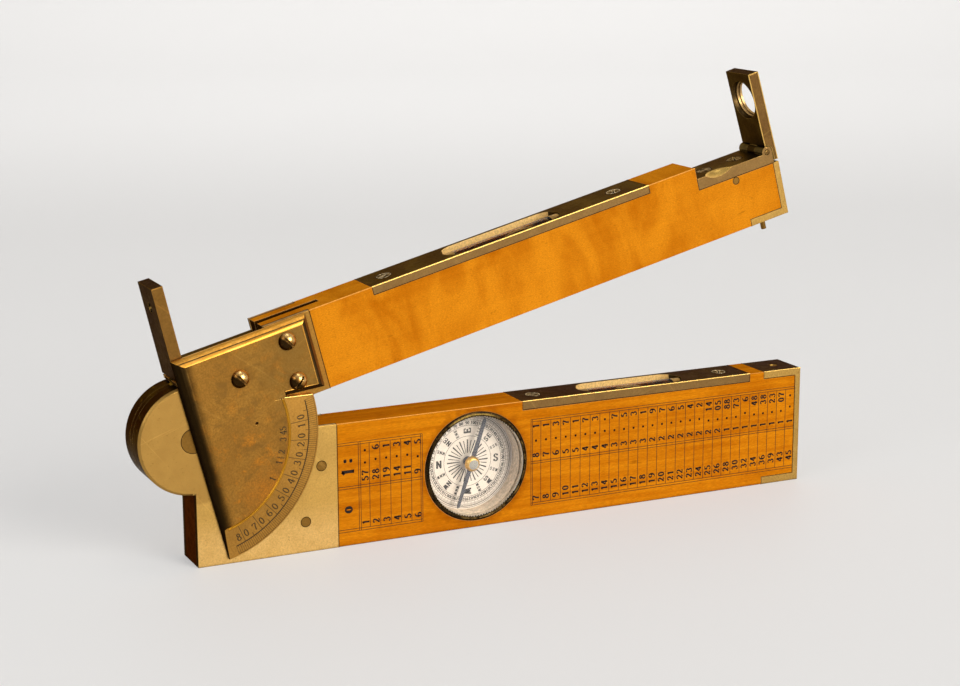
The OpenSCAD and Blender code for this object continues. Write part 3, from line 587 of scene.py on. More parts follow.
def plain_finish(name, colour, metallic, rough, vary=0.15, grain=700.0, shine=0.5, rounded=True):
    """A simple surface: vary is how much its tone changes, and grain how finely."""
    tree, shader, _ = start_material(name)
    feeds = {"Vector": object_place(tree), "Patch scale": grain}
    clouds = use(tree, "Tarnish", feeds)["Clouds"]
    feed(tree, shader, {
        "Base Color": layered(tree, colour, [(clouds, vary, times(colour, 0.55))]),
        "Roughness": spread(tree, clouds, 0.0, 1.0, rough * 0.85, rough * 1.25),
        "Metallic": metallic, "Specular IOR Level": shine})
    if rounded:
        feed(tree, shader, {"Normal": use(tree, "Edge wear")["Normal"]})


def clear_finish(name, tint, rough, ior, lets_light, front_shadow_line=False):
    """Glass or spirit, which lamps shine through; a tube may have a painted shadow line along its front."""
    tree, shader, out = start_material(name)
    place = object_place(tree)
    smear = noise(tree, place, 260.0, 4.0, 0.6)
    feed(tree, shader, {
        "Base Color": (*tint, 1), "Transmission Weight": 1.0, "IOR": ior,
        "Roughness": spread(tree, smear, 0.4, 0.7, rough, rough + 0.05)})
    if front_shadow_line:
        # a ragged painted shadow line along the tube's front
        across = maths(tree, "ADD", part_of(tree, place, "Y"), ragged(tree, place, 0.7 * MM, 420.0))
        line = maths(tree, "MINIMUM", spread(tree, across, -0.55 * MM, -0.80 * MM),
                     spread(tree, across, -1.9 * MM, -1.5 * MM))
        dark = blend_colour(tree, line, tint, (0.06, 0.030, 0.008))
        feed(tree, shader, {"Base Color": dark})
    shadow = add(tree, "ShaderNodeLightPath").outputs["Is Shadow Ray"]
    through = add(tree, "ShaderNodeBsdfTransparent", {"Color": (*lets_light, 1)}).outputs[0]
    feed(tree, out, {0: mixed_shader(tree, shadow, shader.outputs[0], through)})


# Every finish, by name


def wood_finishes(wood):
    honey, amber = tuple(wood.honey), tuple(wood.amber)
    boxwood_finish("boxwood_upper", "upper", honey, amber, figure=0.85, run=0.40)
    boxwood_finish("boxwood_lower", "lower", times(honey, (0.95, 0.92, 0.6)), amber,
                   figure=0.30, run=0.16, compass_shadow=True)
    # the lower arm's left end face: darker end grain, with painted shade
    boxwood_finish("boxwood_end", "lower", (0.10, 0.022, 0.002), (0.05, 0.010, 0.001),
                   figure=0.2, run=0.2)
    # the slot's walls, painted near black as shade
    boxwood_finish("boxwood_slot", "upper", times(honey, 0.08), times(amber, 0.05),
                   figure=0.2, run=0.2)


def shared_brass(arm, clean, patina, olive, dark, gold):
    """The finishes that both arms have, each running along its own arm."""
    # the plates' tops: dark patina with a painted dark reflection, darker still on the lower arm
    top = dark if arm == "upper" else times(dark, 0.62)
    brass_finish("edge_brass_" + arm, arm, (0.25, 0.142, 0.046), (0.19, 0.098, 0.032), olive, gold,
                 rough=(0.34, 0.5), patch_scale=220.0, line_share=0.10, mottle_share=0.6)
    brass_finish("dark_brass_" + arm, arm, top, times(top, 1.9), clean, clean,
                 rough=(0.28, 0.45), speck_share=0.06, edge_share=0.55, line_share=0.08,
                 tint=(0.37, 0.32, 0.30))
    brass_finish("gold_edge_" + arm, arm, (1.0, 0.64, 0.17), gold, patina, gold,
                 rough=(0.26, 0.40), patch_share=0.5, speck_share=0.25, mottle_share=0.25)
    brass_finish("end_cap_brass_" + arm, arm, times(clean, 0.82), times(clean, 0.60), olive, gold,
                 rough=(0.36, 0.52), patch_share=0.5, mottle_share=0.75, patch_scale=160.0)


def knuckle_brass(clean, patina, stain, olive, dark, gold):
    """The leaves, their rims and rivets, and the upper arm's side plates."""
    brass_finish("leaf_brass", "lower", clean, times(clean, 0.72), olive, gold,
                 rough=(0.34, 0.50), patch_share=0.5, speck_share=0.4, patch_scale=90.0,
                 edge_share=0.8, zones=leaf_zones)
    brass_finish("rim_brass", "lower", (0.055, 0.034, 0.013), (0.13, 0.085, 0.032), dark, clean,
                 rough=(0.26, 0.40), speck_share=0.2, edge_share=0.4, tint=(0.42, 0.37, 0.32))
    brass_finish("rivet_brass", "lower", times(patina, 0.75), olive, dark, clean,
                 rough=(0.36, 0.5), edge_share=0.0, mottle_share=0.6)
    brass_finish("patina_brass_upper", "upper", patina, stain, olive, gold, rough=(0.36, 0.55),
                 patch_share=0.80, patch_scale=75.0, line_share=0.10, mottle_share=0.55)


def quadrant_brass(clean, patina, olive, dark, gold):
    """The quadrant's plate, scale band, step, bevels and index edge, and its screws."""
    brass_finish("quadrant_brass", "upper", (0.315, 0.148, 0.026), (0.42, 0.205, 0.035), olive,
                 gold,
                 rough=(0.36, 0.55), patch_share=0.7, speck_share=0.45, patch_scale=110.0,
                 line_share=0.08, mottle_share=0.75, reach=1.1 * MM,
                 zones=quadrant_zones, over=index_zone)
    brass_finish("band_brass", "upper", times(patina, 1.32), patina, olive, gold,
                 rough=(0.36, 0.55), patch_share=0.5, patch_scale=90.0, line_share=0.05,
                 mottle_share=0.6, edge_share=0.3)
    brass_finish("step_brass", "upper", (0.92, 0.42, 0.030), (0.70, 0.30, 0.025), patina, gold,
                 rough=(0.3, 0.4), patch_share=0.5, mottle_share=0.3, speck_share=0.2,
                 edge_share=0.0, line_share=0.0, shade_and_dirt_share=0.0)
    # bright brass for the bevels that face up, a painted highlight
    brass_finish("bevel_gold", "upper", (0.80, 0.365, 0.05), gold, patina, gold,
                 rough=(0.28, 0.42), patch_share=0.4, speck_share=0.2, mottle_share=0.25,
                 shade_and_dirt_share=0.5, edge_share=0.2)
    brass_finish("bevel_shade", "upper", (0.060, 0.034, 0.012), (0.10, 0.055, 0.018), dark, clean,
                 rough=(0.4, 0.6), speck_share=0.15, edge_share=0.3, line_share=0.0,
                 tint=(0.40, 0.34, 0.30))
    # near-black brass as painted shade: the index edge's dark reflection and the vial plugs' dark ends
    brass_finish("index_brass", "upper", (0.020, 0.011, 0.004), (0.034, 0.020, 0.007), dark, clean,
                 rough=(0.4, 0.6), patch_share=0.5, speck_share=0.15, edge_share=0.1,
                 line_share=0.0, tint=(0.36, 0.31, 0.29))
    # round screw heads, with painted shade and a painted highlight
    brass_finish("screw_brass", "upper", (0.46, 0.21, 0.045), (0.28, 0.12, 0.023), dark, gold,
                 rough=(0.22, 0.36), patch_share=0.7, speck_share=0.3, patch_scale=420.0,
                 shade_and_dirt_share=1.0, reach=0.9 * MM, tint=(0.8, 0.65, 0.4), over=dome_zones)


def fitting_brass(clean, olive, dark, gold):
    """The compass's bezel, the levels' screws and plugs, and the sights."""
    brass_finish("bezel_brass", "lower", (0.016, 0.011, 0.006), (0.10, 0.055, 0.016),
                 (0.20, 0.11, 0.03), gold, rough=(0.25, 0.5), patch_share=0.8, speck_share=0.7,
                 patch_scale=330.0, edge_share=0.1, line_share=0.0, tint=(0.42, 0.30, 0.13))
    # the bezel's crest, with a painted highlight at the top and painted shade at the left
    brass_finish("bezel_crest", "lower", (0.018, 0.012, 0.006), (0.66, 0.40, 0.12),
                 (0.75, 0.46, 0.14), gold, rough=(0.3, 0.5), patch_share=0.75, patch_scale=560.0,
                 mottle_share=0.7, edge_share=0.0, shade_and_dirt_share=0.0, zones=crest_zones)
    # dark screw heads with bright patches and edges: worn brass with painted glints
    brass_finish("top_screw_brass", "upper", (0.03, 0.02, 0.01), (0.90, 0.62, 0.32), dark,
                 (1.0, 0.74, 0.40), rough=(0.25, 0.4), patch_scale=900.0, edge_share=1.0,
                 wear_radius=0.35 * MM, tint=(0.47, 0.40, 0.32))
    # very bright broken rings on the level screws: worn edges with painted highlights
    brass_finish("rim_gold", "upper", (1.0, 0.78, 0.46), (0.05, 0.03, 0.012), dark, gold,
                 rough=(0.25, 0.4), patch_share=1.0, patch_scale=700.0, edge_share=0.0,
                 shade_and_dirt_share=0.0)
    brass_finish("plug_brass", "upper", (0.60, 0.34, 0.095), (0.10, 0.055, 0.018), dark, gold,
                 rough=(0.3, 0.45), patch_share=0.9, patch_scale=420.0, edge_share=0.3,
                 shade_and_dirt_share=1.0)
    brass_finish("worn_brass", "upper", (0.145, 0.074, 0.022), (0.24, 0.130, 0.036), olive,
                 (1.0, 0.66, 0.17), rough=(0.34, 0.5), patch_scale=330.0, mottle_share=0.7,
                 edge_share=1.0, wear_radius=0.5 * MM, tint=(0.6, 0.5, 0.4))
    brass_finish("brown_brass", "upper", (0.20, 0.098, 0.021), (0.25, 0.125, 0.028), olive,
                 (0.62, 0.30, 0.06), rough=(0.36, 0.5), patch_scale=190.0, mottle_share=0.6,
                 edge_share=0.9, wear_radius=0.4 * MM, tint=(0.6, 0.5, 0.4))
    brass_finish("dim_brass", "upper", (0.058, 0.034, 0.012), (0.11, 0.068, 0.024), dark, clean,
                 rough=(0.34, 0.5), patch_scale=190.0, speck_share=0.1, line_share=0.05,
                 tint=(0.42, 0.37, 0.32))
    brass_finish("ring_brass", "upper", (0.66, 0.42, 0.17), (0.08, 0.045, 0.016), dark, gold,
                 rough=(0.34, 0.5), patch_share=0.9, patch_scale=330.0, speck_share=0.6,
                 tint=(0.6, 0.5, 0.4))


def brass_finishes(brass):
    clean, patina, stain, dark, gold = (
        tuple(getattr(brass, name)) for name in ("clean", "patina", "stain", "dark", "gold"))
    olive = times(patina, 0.5)
    for arm in ("lower", "upper"):
        shared_brass(arm, clean, patina, olive, dark, gold)
    knuckle_brass(clean, patina, stain, olive, dark, gold)
    quadrant_brass(clean, patina, olive, dark, gold)
    fitting_brass(clean, olive, dark, gold)


def plain_finishes(silver, ink):
    """Steel, stone, silvering, gilding, worn and highlighted wood, dirt and ink."""
    for name, colour, metallic, rough, vary, grain, shine in (
            ("needle_steel", (0.050, 0.048, 0.056), 0.0, 0.6, 0.15, 700.0, 0.1),
            ("agate", (0.26, 0.235, 0.20), 0.0, 0.3, 0.6, 900.0, 0.25),
            ("cap_brass", (0.80, 0.47, 0.10), 1.0, 0.34, 0.6, 500.0, 0.5),
            ("silvered_card", silver, 0.0, 0.5, 0.16, 160.0, 0.5),
            ("silvered_wall", (0.72, 0.56, 0.40), 0.2, 0.5, 0.8, 300.0, 0.12),
            ("silver_ring", (0.72, 0.62, 0.48), 1.0, 0.3, 0.7, 900.0, 0.5),
            ("vial_bed_gilding", (0.95, 0.68, 0.32), 0.1, 0.4, 0.6, 500.0, 0.5),
            ("window_gilding", (0.95, 0.60, 0.20), 0.1, 0.5, 0.8, 500.0, 0.5)):
        plain_finish(name, colour, metallic, rough, vary, grain, shine)
    for name, colour, rough, vary, grain, shine in (
            ("seam_dirt", (0.030, 0.013, 0.004), 0.7, 0.3, 2500.0, 0.05),
            ("worn_wood_highlight", (0.92, 0.40, 0.07), 0.6, 0.7, 900.0, 0.0),
            ("printing_ink", ink, 0.6, 0.4, 2500.0, 0.1),
            ("dial_ink", (0.024, 0.018, 0.015), 0.55, 0.3, 2500.0, 0.1),
            ("engraving_wax", (0.070, 0.040, 0.014), 0.5, 0.4, 2500.0, 0.1)):
        plain_finish(name, colour, 0.0, rough, vary, grain, shine, rounded=False)


def finish(name):
    return bpy.data.materials[name]


def wear_finish(name, *nodes):
    """Gives CAD nodes' objects one finish."""
    for node in nodes:
        slots = frame["nodes"][node].data.materials
        slots.clear()
        slots.append(finish(name))


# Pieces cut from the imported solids, with their edges rounded


def mesh_from(bm, name):
    mesh = bpy.data.meshes.new(name)
    bm.to_mesh(mesh)
    bm.free()
    return mesh


def link(data, name):
    made = bpy.data.objects.new(name, data)
    bpy.context.scene.collection.objects.link(made)
    return made


def place_piece(mesh, name, body):
    """Adds a mesh as a piece that rides on a body."""
    made = link(mesh, name)
    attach(made, body)


def whole_faces(node):
    """A CAD node's mesh with its loose triangles merged into whole faces."""
    bm = bmesh.new()
    bm.from_mesh(frame["nodes"][node].data)
    bmesh.ops.remove_doubles(bm, verts=bm.verts, dist=SAME_PLACE)
    bmesh.ops.dissolve_limit(bm, angle_limit=FLAT, verts=bm.verts, edges=bm.edges)
    return bm


def rounded_copy(node, small, large, long_edge=14 * MM):
    """A node's mesh with rounded edges; those longer than long_edge get the large rounding."""
    bm = whole_faces(node)
    for width, longest in ((large, True), (small, False)):
        if width <= 0:
            continue
        sharp = [e for e in bm.edges
                 if len(e.link_faces) == 2 and e.calc_face_angle_signed(0) > SHARP
                 and (not longest or e.calc_length() > long_edge)]
        bmesh.ops.bevel(bm, geom=sharp, offset=width, offset_type="OFFSET",
                        segments=3 if longest else 2, profile=0.5, affect="EDGES",
                        clamp_overlap=True)
    return mesh_from(bm, node + "_finished")


def smooth_by_angle(mesh, angle):
    mesh.shade_smooth()
    mesh.set_sharp_from_angle(angle=math.radians(angle))


def even_shading(made):
    """Weights the smooth normals by face size, so that flat faces stay flat beside round edges."""
    modifier = made.modifiers.new("Even", "WEIGHTED_NORMAL")
    modifier.keep_sharp, modifier.weight = True, 90
    evaluated = made.evaluated_get(bpy.context.evaluated_depsgraph_get())
    mesh = bpy.data.meshes.new_from_object(evaluated)
    made.modifiers.clear()
    made.data = mesh


def dress(node, body, names, choose=None, small=None, large=0.0):
    """Puts a rounded and painted copy in the place of a CAD node.

    choose(centre, normal) names a face's finish, in the directions of the arm that carries it.
    """
    if small is None:
        small = bpy.context.scene.clino_brass.edge_round
    mesh = rounded_copy(node, small, large)
    mesh.materials.clear()
    for name in names:
        mesh.materials.append(finish(name))
    turn = body_turn(body)
    straight = turn.to_3x3()
    for face in mesh.polygons if choose else ():
        chosen = choose(turn @ face.center, straight @ face.normal)
        face.material_index = names.index(chosen)
    smooth_by_angle(mesh, 40)
    made = link(mesh, node + "_finished")
    even_shading(made)
    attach(made, body)
    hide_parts(node)


# Geometry Nodes trees for what repeats


def new_tree(name, inputs):
    """Starts a tree with these inputs and its finish's."""
    return new_group("GeometryNodeTree", name, [*inputs, ("Material", "Material")],
                     [("Geometry", "Geometry")])


def close_tree(tree, given, out, instances):
    real = add(tree, "GeometryNodeRealizeInstances", {0: instances}).outputs[0]
    done = add(tree, "GeometryNodeSetMaterial", {"Geometry": real, "Material": given["Material"]})
    feed(tree, out, {0: done.outputs[0]})
    return tree


def radial_marks_tree():
    """Marks round a centre: each runs outward along X, is turned about Z, may taper and slope."""
    tree, given, out = new_tree("Radial marks", [
        ("Count", "Int", 36), ("Start", "Float", 0.0), ("Step", "Float", 0.1),
        ("Inner", "Float", 10 * MM), ("Outer", "Float", 20 * MM), ("Foot width", "Float", 0.1 * MM),
        ("Tip width", "Float", 0.1 * MM), ("Height", "Float", 0.0), ("Slope", "Float", 0.0),
        ("Depth", "Float", 0.03 * MM)])
    bar = add(tree, "GeometryNodeMeshCube", {"Size": (1.0, 1.0, 1.0)}).outputs["Mesh"]
    place = add(tree, "GeometryNodeInputPosition").outputs[0]
    x, y, z = (part_of(tree, place, axis) for axis in "XYZ")
    along = maths(tree, "ADD", x, 0.5)
    run = maths(tree, "MULTIPLY", along, maths(tree, "SUBTRACT", given["Outer"], given["Inner"]))
    width = blend(tree, along, given["Foot width"], given["Tip width"])
    rise = maths(tree, "ADD", maths(tree, "MULTIPLY", run, given["Slope"]), given["Height"])
    rise = maths(tree, "ADD", rise, maths(tree, "MULTIPLY", z, given["Depth"]))
    spot = vector(tree, maths(tree, "ADD", run, given["Inner"]), maths(tree, "MULTIPLY", y, width),
                  rise)
    bar = add(tree, "GeometryNodeSetPosition", {"Geometry": bar, "Position": spot}).outputs[0]
    points = add(tree, "GeometryNodePoints", {"Count": given["Count"]}).outputs[0]
    steps = maths(tree, "MULTIPLY", add(tree, "GeometryNodeInputIndex").outputs[0], given["Step"])
    turn = vector(tree, z=maths(tree, "ADD", given["Start"], steps))
    marks = add(tree, "GeometryNodeInstanceOnPoints", {
        "Points": points, "Instance": bar, "Rotation": turn}).outputs[0]
    return close_tree(tree, given, out, marks)


def ruled_lines_tree():
    """Parallel rules: each runs along Y, and they are set out along X."""
    tree, given, out = new_tree("Ruled lines", [
        ("Count", "Int", 6), ("First", "Float", 0.0), ("Pitch", "Float", 2.5 * MM),
        ("Low", "Float", 0.0), ("Length", "Float", 20 * MM), ("Width", "Float", 0.1 * MM),
        ("Depth", "Float", 0.03 * MM)])
    size = vector(tree, given["Width"], given["Length"], given["Depth"])
    bar = add(tree, "GeometryNodeMeshCube", {"Size": size}).outputs["Mesh"]
    half = maths(tree, "MULTIPLY", given["Length"], 0.5)
    start = vector(tree, given["First"], maths(tree, "ADD", given["Low"], half))
    row = add(tree, "GeometryNodeMeshLine", {
        "Count": given["Count"], "Start Location": start,
        "Offset": vector(tree, given["Pitch"])}, mode="OFFSET").outputs[0]
    lines = add(tree, "GeometryNodeInstanceOnPoints", {"Points": row, "Instance": bar}).outputs[0]
    return close_tree(tree, given, out, lines)


def swept(tree, path, outline):
    """A closed solid along a path."""
    return add(tree, "GeometryNodeCurveToMesh", {
        "Curve": path, "Profile Curve": outline, "Fill Caps": True}).outputs[0]


def arc_line_tree():
    """A fine line along an arc about Z, from Start through Sweep."""
    tree, given, out = new_tree("Arc line", [
        ("Radius", "Float", 10 * MM), ("Start", "Float", 0.0), ("Sweep", "Float", math.tau),
        ("Steps", "Int", 96), ("Width", "Float", 0.1 * MM), ("Height", "Float", 0.0),
        ("Depth", "Float", 0.03 * MM)])
    arc = add(tree, "GeometryNodeCurveArc", {
        "Resolution": given["Steps"], "Radius": given["Radius"], "Start Angle": given["Start"],
        "Sweep Angle": given["Sweep"]}).outputs[0]
    raised = add(tree, "GeometryNodeSetPosition", {
        "Geometry": arc, "Offset": vector(tree, z=given["Height"])}).outputs[0]
    outline = add(tree, "GeometryNodeCurvePrimitiveQuadrilateral",
                  {"Width": given["Width"], "Height": given["Depth"]}).outputs[0]
    return close_tree(tree, given, out, swept(tree, raised, outline))


def thread_tree():
    """A thin thread along the edges of the mesh that it is given."""
    tree, given, out = new_tree("Thread", [
        ("Geometry", "Geometry"), ("Thickness", "Float", 0.1 * MM), ("Sides", "Int", 6)])
    path = add(tree, "GeometryNodeMeshToCurve", {"Mesh": given["Geometry"]}).outputs[0]
    radius = maths(tree, "MULTIPLY", given["Thickness"], 0.5)
    outline = add(tree, "GeometryNodeCurvePrimitiveCircle", {
        "Resolution": given["Sides"], "Radius": radius}).outputs[0]
    return close_tree(tree, given, out, swept(tree, path, outline))


def grow(tree, material, to_world, source=None, **values):
    """Runs a tree and returns its result as a plain mesh, moved by to_world."""
    host = link(source or bpy.data.meshes.new("marks"), "marks")
    modifier = host.modifiers.new("Marks", "NODES")
    modifier.node_group = tree
    sockets = {s.name: s.identifier for s in tree.interface.items_tree if s.in_out == "INPUT"}
    for name, value in values.items():
        modifier[sockets[name.replace("_", " ")]] = value
    modifier[sockets["Material"]] = finish(material)
    host.update_tag()
    evaluated = host.evaluated_get(bpy.context.evaluated_depsgraph_get())
    mesh = bpy.data.meshes.new_from_object(evaluated)
    host.modifiers.clear()
    bpy.data.objects.remove(host)
    mesh.transform(to_world)
    return mesh


def gather(name, meshes, material, body):
    """Joins meshes of one finish into one piece that rides on a body."""
    bm = bmesh.new()
    for mesh in meshes:
        bm.from_mesh(mesh)
    bmesh.ops.recalc_face_normals(bm, faces=bm.faces)
    joined = mesh_from(bm, name)
    joined.materials.append(finish(material))
    place_piece(joined, name, body)


# Edges for threads to follow


def wire(name, points, edges):
    made = bpy.data.meshes.new(name)
    made.from_pydata(points, edges, [])
    return made


def faces_of(body):
    """All faces of a body's CAD nodes as one tree for rays, and each face's node."""
    points, faces, owners = [], [], []
    for name in BODY_NODES[body]:
        mesh = frame["nodes"][name].data
        start = len(points)
        points += [v.co.copy() for v in mesh.vertices]
        faces += [[start + i for i in face.vertices] for face in mesh.polygons]
        owners += [name] * len(mesh.polygons)
    return BVHTree.FromPolygons(points, faces), owners


def face_edges(node):
    """A node's edges, each with the faces that share it; flat joins between faces are left out."""
    mesh = frame["nodes"][node].data
    sides = {}
    for face in mesh.polygons:
        spots = [mesh.vertices[i].co for i in face.vertices]
        for a, b in zip(spots, spots[1:] + spots[:1]):
            key = frozenset(tuple(round(c, 7) for c in p) for p in (a, b))
            sides.setdefault(key, []).append((a, b, face.normal.copy(), face.center.copy()))
    return [edge for shared in sides.values()
            if not (len(shared) == 2 and shared[0][2].dot(shared[1][2]) > 0.9) for edge in shared]


def flush_edges(body, nodes):
    """The edges where these CAD nodes lie flush against another piece of the same body."""
    beside, above, down, sunk = 0.12 * MM, 0.10 * MM, 0.14 * MM, 0.02 * MM
    solid, owners = faces_of(body)
    ends = []
    for name in nodes:
        for a, b, normal, centre in face_edges(name):
            middle = (a + b) / 2
            along = (b - a).normalized()
            out = middle - centre
            out = (out - along * out.dot(along)).normalized()
            start = middle + out * beside + normal * above
            hit, _, index, _ = solid.ray_cast(start, -normal, down)
            if hit is not None and owners[index] != name:
                ends += [a - normal * sunk, b - normal * sunk]
    return wire("seams", ends, [(i, i + 1) for i in range(0, len(ends), 2)])


def long_edges(node, body, keep, shortest=5 * MM):
    """A node's long sharp edges whose ends keep(point, low, high) accepts."""
    bm = whole_faces(node)
    bm.transform(body_turn(body))
    low, high = extent([v.co for v in bm.verts])
    ends = []
    for edge in bm.edges:
        sharp = len(edge.link_faces) == 2 and edge.calc_face_angle(0) > SHARP
        if sharp and edge.calc_length() > shortest and all(keep(v.co, low, high)
                                                           for v in edge.verts):
            ends += [v.co.copy() for v in edge.verts]
    bm.free()
    return wire(node + "_edges", ends, [(i, i + 1) for i in range(0, len(ends), 2)])


# Figures and letters drawn with a broad pen


def bow(x, y, across, up, start, end, steps=10):
    """Points along part of an ellipse, by angles in degrees."""
    return [(x + across * math.cos(math.radians(start + (end - start) * i / steps)),
             y + up * math.sin(math.radians(start + (end - start) * i / steps)))
            for i in range(steps + 1)]


def foot(x, y=0.03, half=0.2):
    return [(x - half, y), (x + half, y)]


PEN_STROKES = {
    "0": [bow(0.5, 0.5, 0.34, 0.46, 90, 450, 18)],
    "1": [[(0.52, 0.0), (0.52, 0.98)], [(0.52, 0.96), (0.24, 0.76)], foot(0.52)],
    "2": [bow(0.46, 0.72, 0.32, 0.25, 165, -25, 9) + [(0.55, 0.40), (0.28, 0.2), (0.12, 0.04)],
          [(0.10, 0.05), (0.40, 0.10), (0.68, 0.03), (0.86, 0.2)], foot(0.18, 0.74, 0.06)],
    "3": [bow(0.44, 0.74, 0.30, 0.23, 160, -75, 8), bow(0.44, 0.27, 0.36, 0.25, 80, -160, 9)],
    "4": [[(0.66, 0.0), (0.66, 0.97)], [(0.64, 0.97), (0.06, 0.30)], [(0.06, 0.28), (0.94, 0.28)],
          foot(0.66)],
    "5": [[(0.22, 0.94), (0.78, 0.94)], [(0.24, 0.94), (0.22, 0.55)],
          bow(0.44, 0.30, 0.36, 0.28, 118, -158, 10)],
    "6": [bow(0.66, 0.46, 0.54, 0.50, 76, 196, 8), bow(0.50, 0.28, 0.34, 0.25, 0, 360, 14)],
    "7": [[(0.12, 0.93), (0.88, 0.93)], [(0.88, 0.93), (0.52, 0.45), (0.42, 0.0)],
          [(0.14, 0.95), (0.12, 0.76)]],
    "8": [bow(0.5, 0.75, 0.26, 0.21, -90, 270, 14), bow(0.5, 0.27, 0.34, 0.25, 90, 450, 14)],
    "9": [bow(0.34, 0.54, 0.54, 0.50, -104, 16, 8), bow(0.50, 0.72, 0.34, 0.25, 0, 360, 14)],
    ".": [bow(0.5, 0.48, 0.05, 0.05, 0, 360, 6), bow(0.5, 0.48, 0.10, 0.10, 0, 360, 8)],
    ":": [bow(0.5, 0.22, 0.07, 0.07, 0, 360, 8), bow(0.5, 0.70, 0.07, 0.07, 0, 360, 8)],
    "o": [bow(0.5, 0.66, 0.26, 0.26, 0, 360, 16)],
    "N": [[(0.16, 0.0), (0.16, 0.97)], [(0.14, 0.97), (0.84, 0.03)], [(0.84, 0.0), (0.84, 0.97)],
          foot(0.16, 0.03, 0.14), foot(0.14, 0.95, 0.12), foot(0.84, 0.95, 0.14)],
    "E": [[(0.22, 0.0), (0.22, 0.97)], [(0.10, 0.95), (0.84, 0.95), (0.84, 0.74)],
          [(0.22, 0.50), (0.64, 0.50)], [(0.64, 0.62), (0.64, 0.38)],
          [(0.10, 0.04), (0.86, 0.04), (0.88, 0.28)]],
    "S": [bow(0.5, 0.74, 0.28, 0.22, 30, 230, 9) + bow(0.5, 0.26, 0.30, 0.24, 60, -150, 10),
          [(0.77, 0.95), (0.77, 0.72)], [(0.20, 0.05), (0.20, 0.3)]],
    "W": [[(0.08, 0.97), (0.30, 0.02)], [(0.30, 0.02), (0.52, 0.90)], [(0.50, 0.90), (0.72, 0.02)],
          [(0.72, 0.02), (0.94, 0.97)], foot(0.10, 0.95, 0.13), foot(0.92, 0.95, 0.13)],
}


class PenWork:
    """Collects pen strokes as thin closed solids."""

    def __init__(self, thin=0.085, thick=0.185):
        self.bm = bmesh.new()
        self.thin, self.thick = thin, thick

    def stroke(self, points, size, place, narrow):
        """One stroke; place(x, y, top) turns flat points into space, top 1 above and 0 below."""
        path = [Vector((x * size * narrow, y * size)) for x, y in points]
        rows = []
        for i, here in enumerate(path):
            ahead = path[min(i + 1, len(path) - 1)] - path[max(i - 1, 0)]
            ahead = ahead.normalized() if ahead.length > 0 else Vector((0, 1))
            half = size * (self.thin + (self.thick - self.thin) * ahead.y ** 2) / 2
            side = Vector((-ahead.y, ahead.x)) * half
            left, right = here + side, here - side
            rows.append([self.bm.verts.new(place(p.x, p.y, top)) for p, top in
                         ((left, 1), (right, 1), (right, 0), (left, 0))])
        for a, b in zip(rows, rows[1:]):
            for k in range(4):
                self.bm.faces.new((a[k], a[(k + 1) % 4], b[(k + 1) % 4], b[k]))
        self.bm.faces.new(rows[0][::-1])
        self.bm.faces.new(rows[-1])

    def write(self, text, size, step, place, narrow=0.66, start=None):
        """Writes text along X, centred on 0 or from start."""
        at = -step * len(text) / 2 if start is None else start
        inset = (step - size * narrow) / 2
        for letter in text:
            for points in PEN_STROKES[letter]:
                self.stroke(points, size, lambda x, y, top, at=at: place(x + at + inset, y, top),
                            narrow)
            at += step

    def mesh(self, name):
        bmesh.ops.recalc_face_normals(self.bm, faces=self.bm.faces)
        return mesh_from(self.bm, name)


def printed(lift, top):
    """How far a printed stroke's upper or lower side stands off its surface."""
    return 1.6 * lift if top else -lift


# Operators


class CLINO_OT_finishes(bpy.types.Operator):
    """Build the boxwood, brass, steel, glass and ink finishes"""
    bl_idname = "clino.finishes"
    bl_label = "Finishes"

    def execute(self, context):
        for build in (edge_wear_group, tarnish_group, scratch_group, grime_group, boxwood_group):
            build()
        scene = context.scene
        wood_finishes(scene.clino_wood)
        brass_finishes(scene.clino_brass)
        plain_finishes(tuple(scene.clino_compass.silver), tuple(scene.clino_ink.ink))
        clear_finish("clear_glass", (0.98, 0.985, 0.98), 0.0, 1.5, (0.96, 0.97, 0.96))
        clear_finish("tube_glass", (1.0, 0.99, 0.95), 0.03, 1.12, (1.0, 0.99, 0.97),
                     front_shadow_line=True)
        clear_finish("yellow_spirit", (1.0, 0.97, 0.84), 0.0, 1.12, (1.0, 0.97, 0.88))
        return {"FINISHED"}


class CLINO_OT_arms(bpy.types.Operator):
    """Finish the two boxwood arms"""
    bl_idname = "clino.arms"
    bl_label = "Boxwood arms"

    def execute(self, context):
        slot_wall, slot_end, shaded_end_grain = abs(ARM_FACE) - 0.8 * MM, 40 * MM, CORNER.x + 2 * MM

        def in_slot(centre, normal):
            walled = abs(centre.y) < slot_wall and centre.x < slot_end and abs(normal.z) < 0.5
            # the slot's walls take the near-black painted shade
            return "boxwood_slot" if walled else "boxwood_upper"

        def at_end(centre, normal):
            # the left end face gets the dark finish: end grain with painted shade
            return "boxwood_end" if normal.x < -0.8 and centre.x < shaded_end_grain else "boxwood_lower"

        large = context.scene.clino_wood.edge_round
        for arm, other, choose in (("lower", "end", at_end), ("upper", "slot", in_slot)):
            dress(arm + "_wood", arm + "_arm", ["boxwood_" + arm, "boxwood_" + other],
                  choose, small=0.07 * MM, large=large)
        return {"FINISHED"}


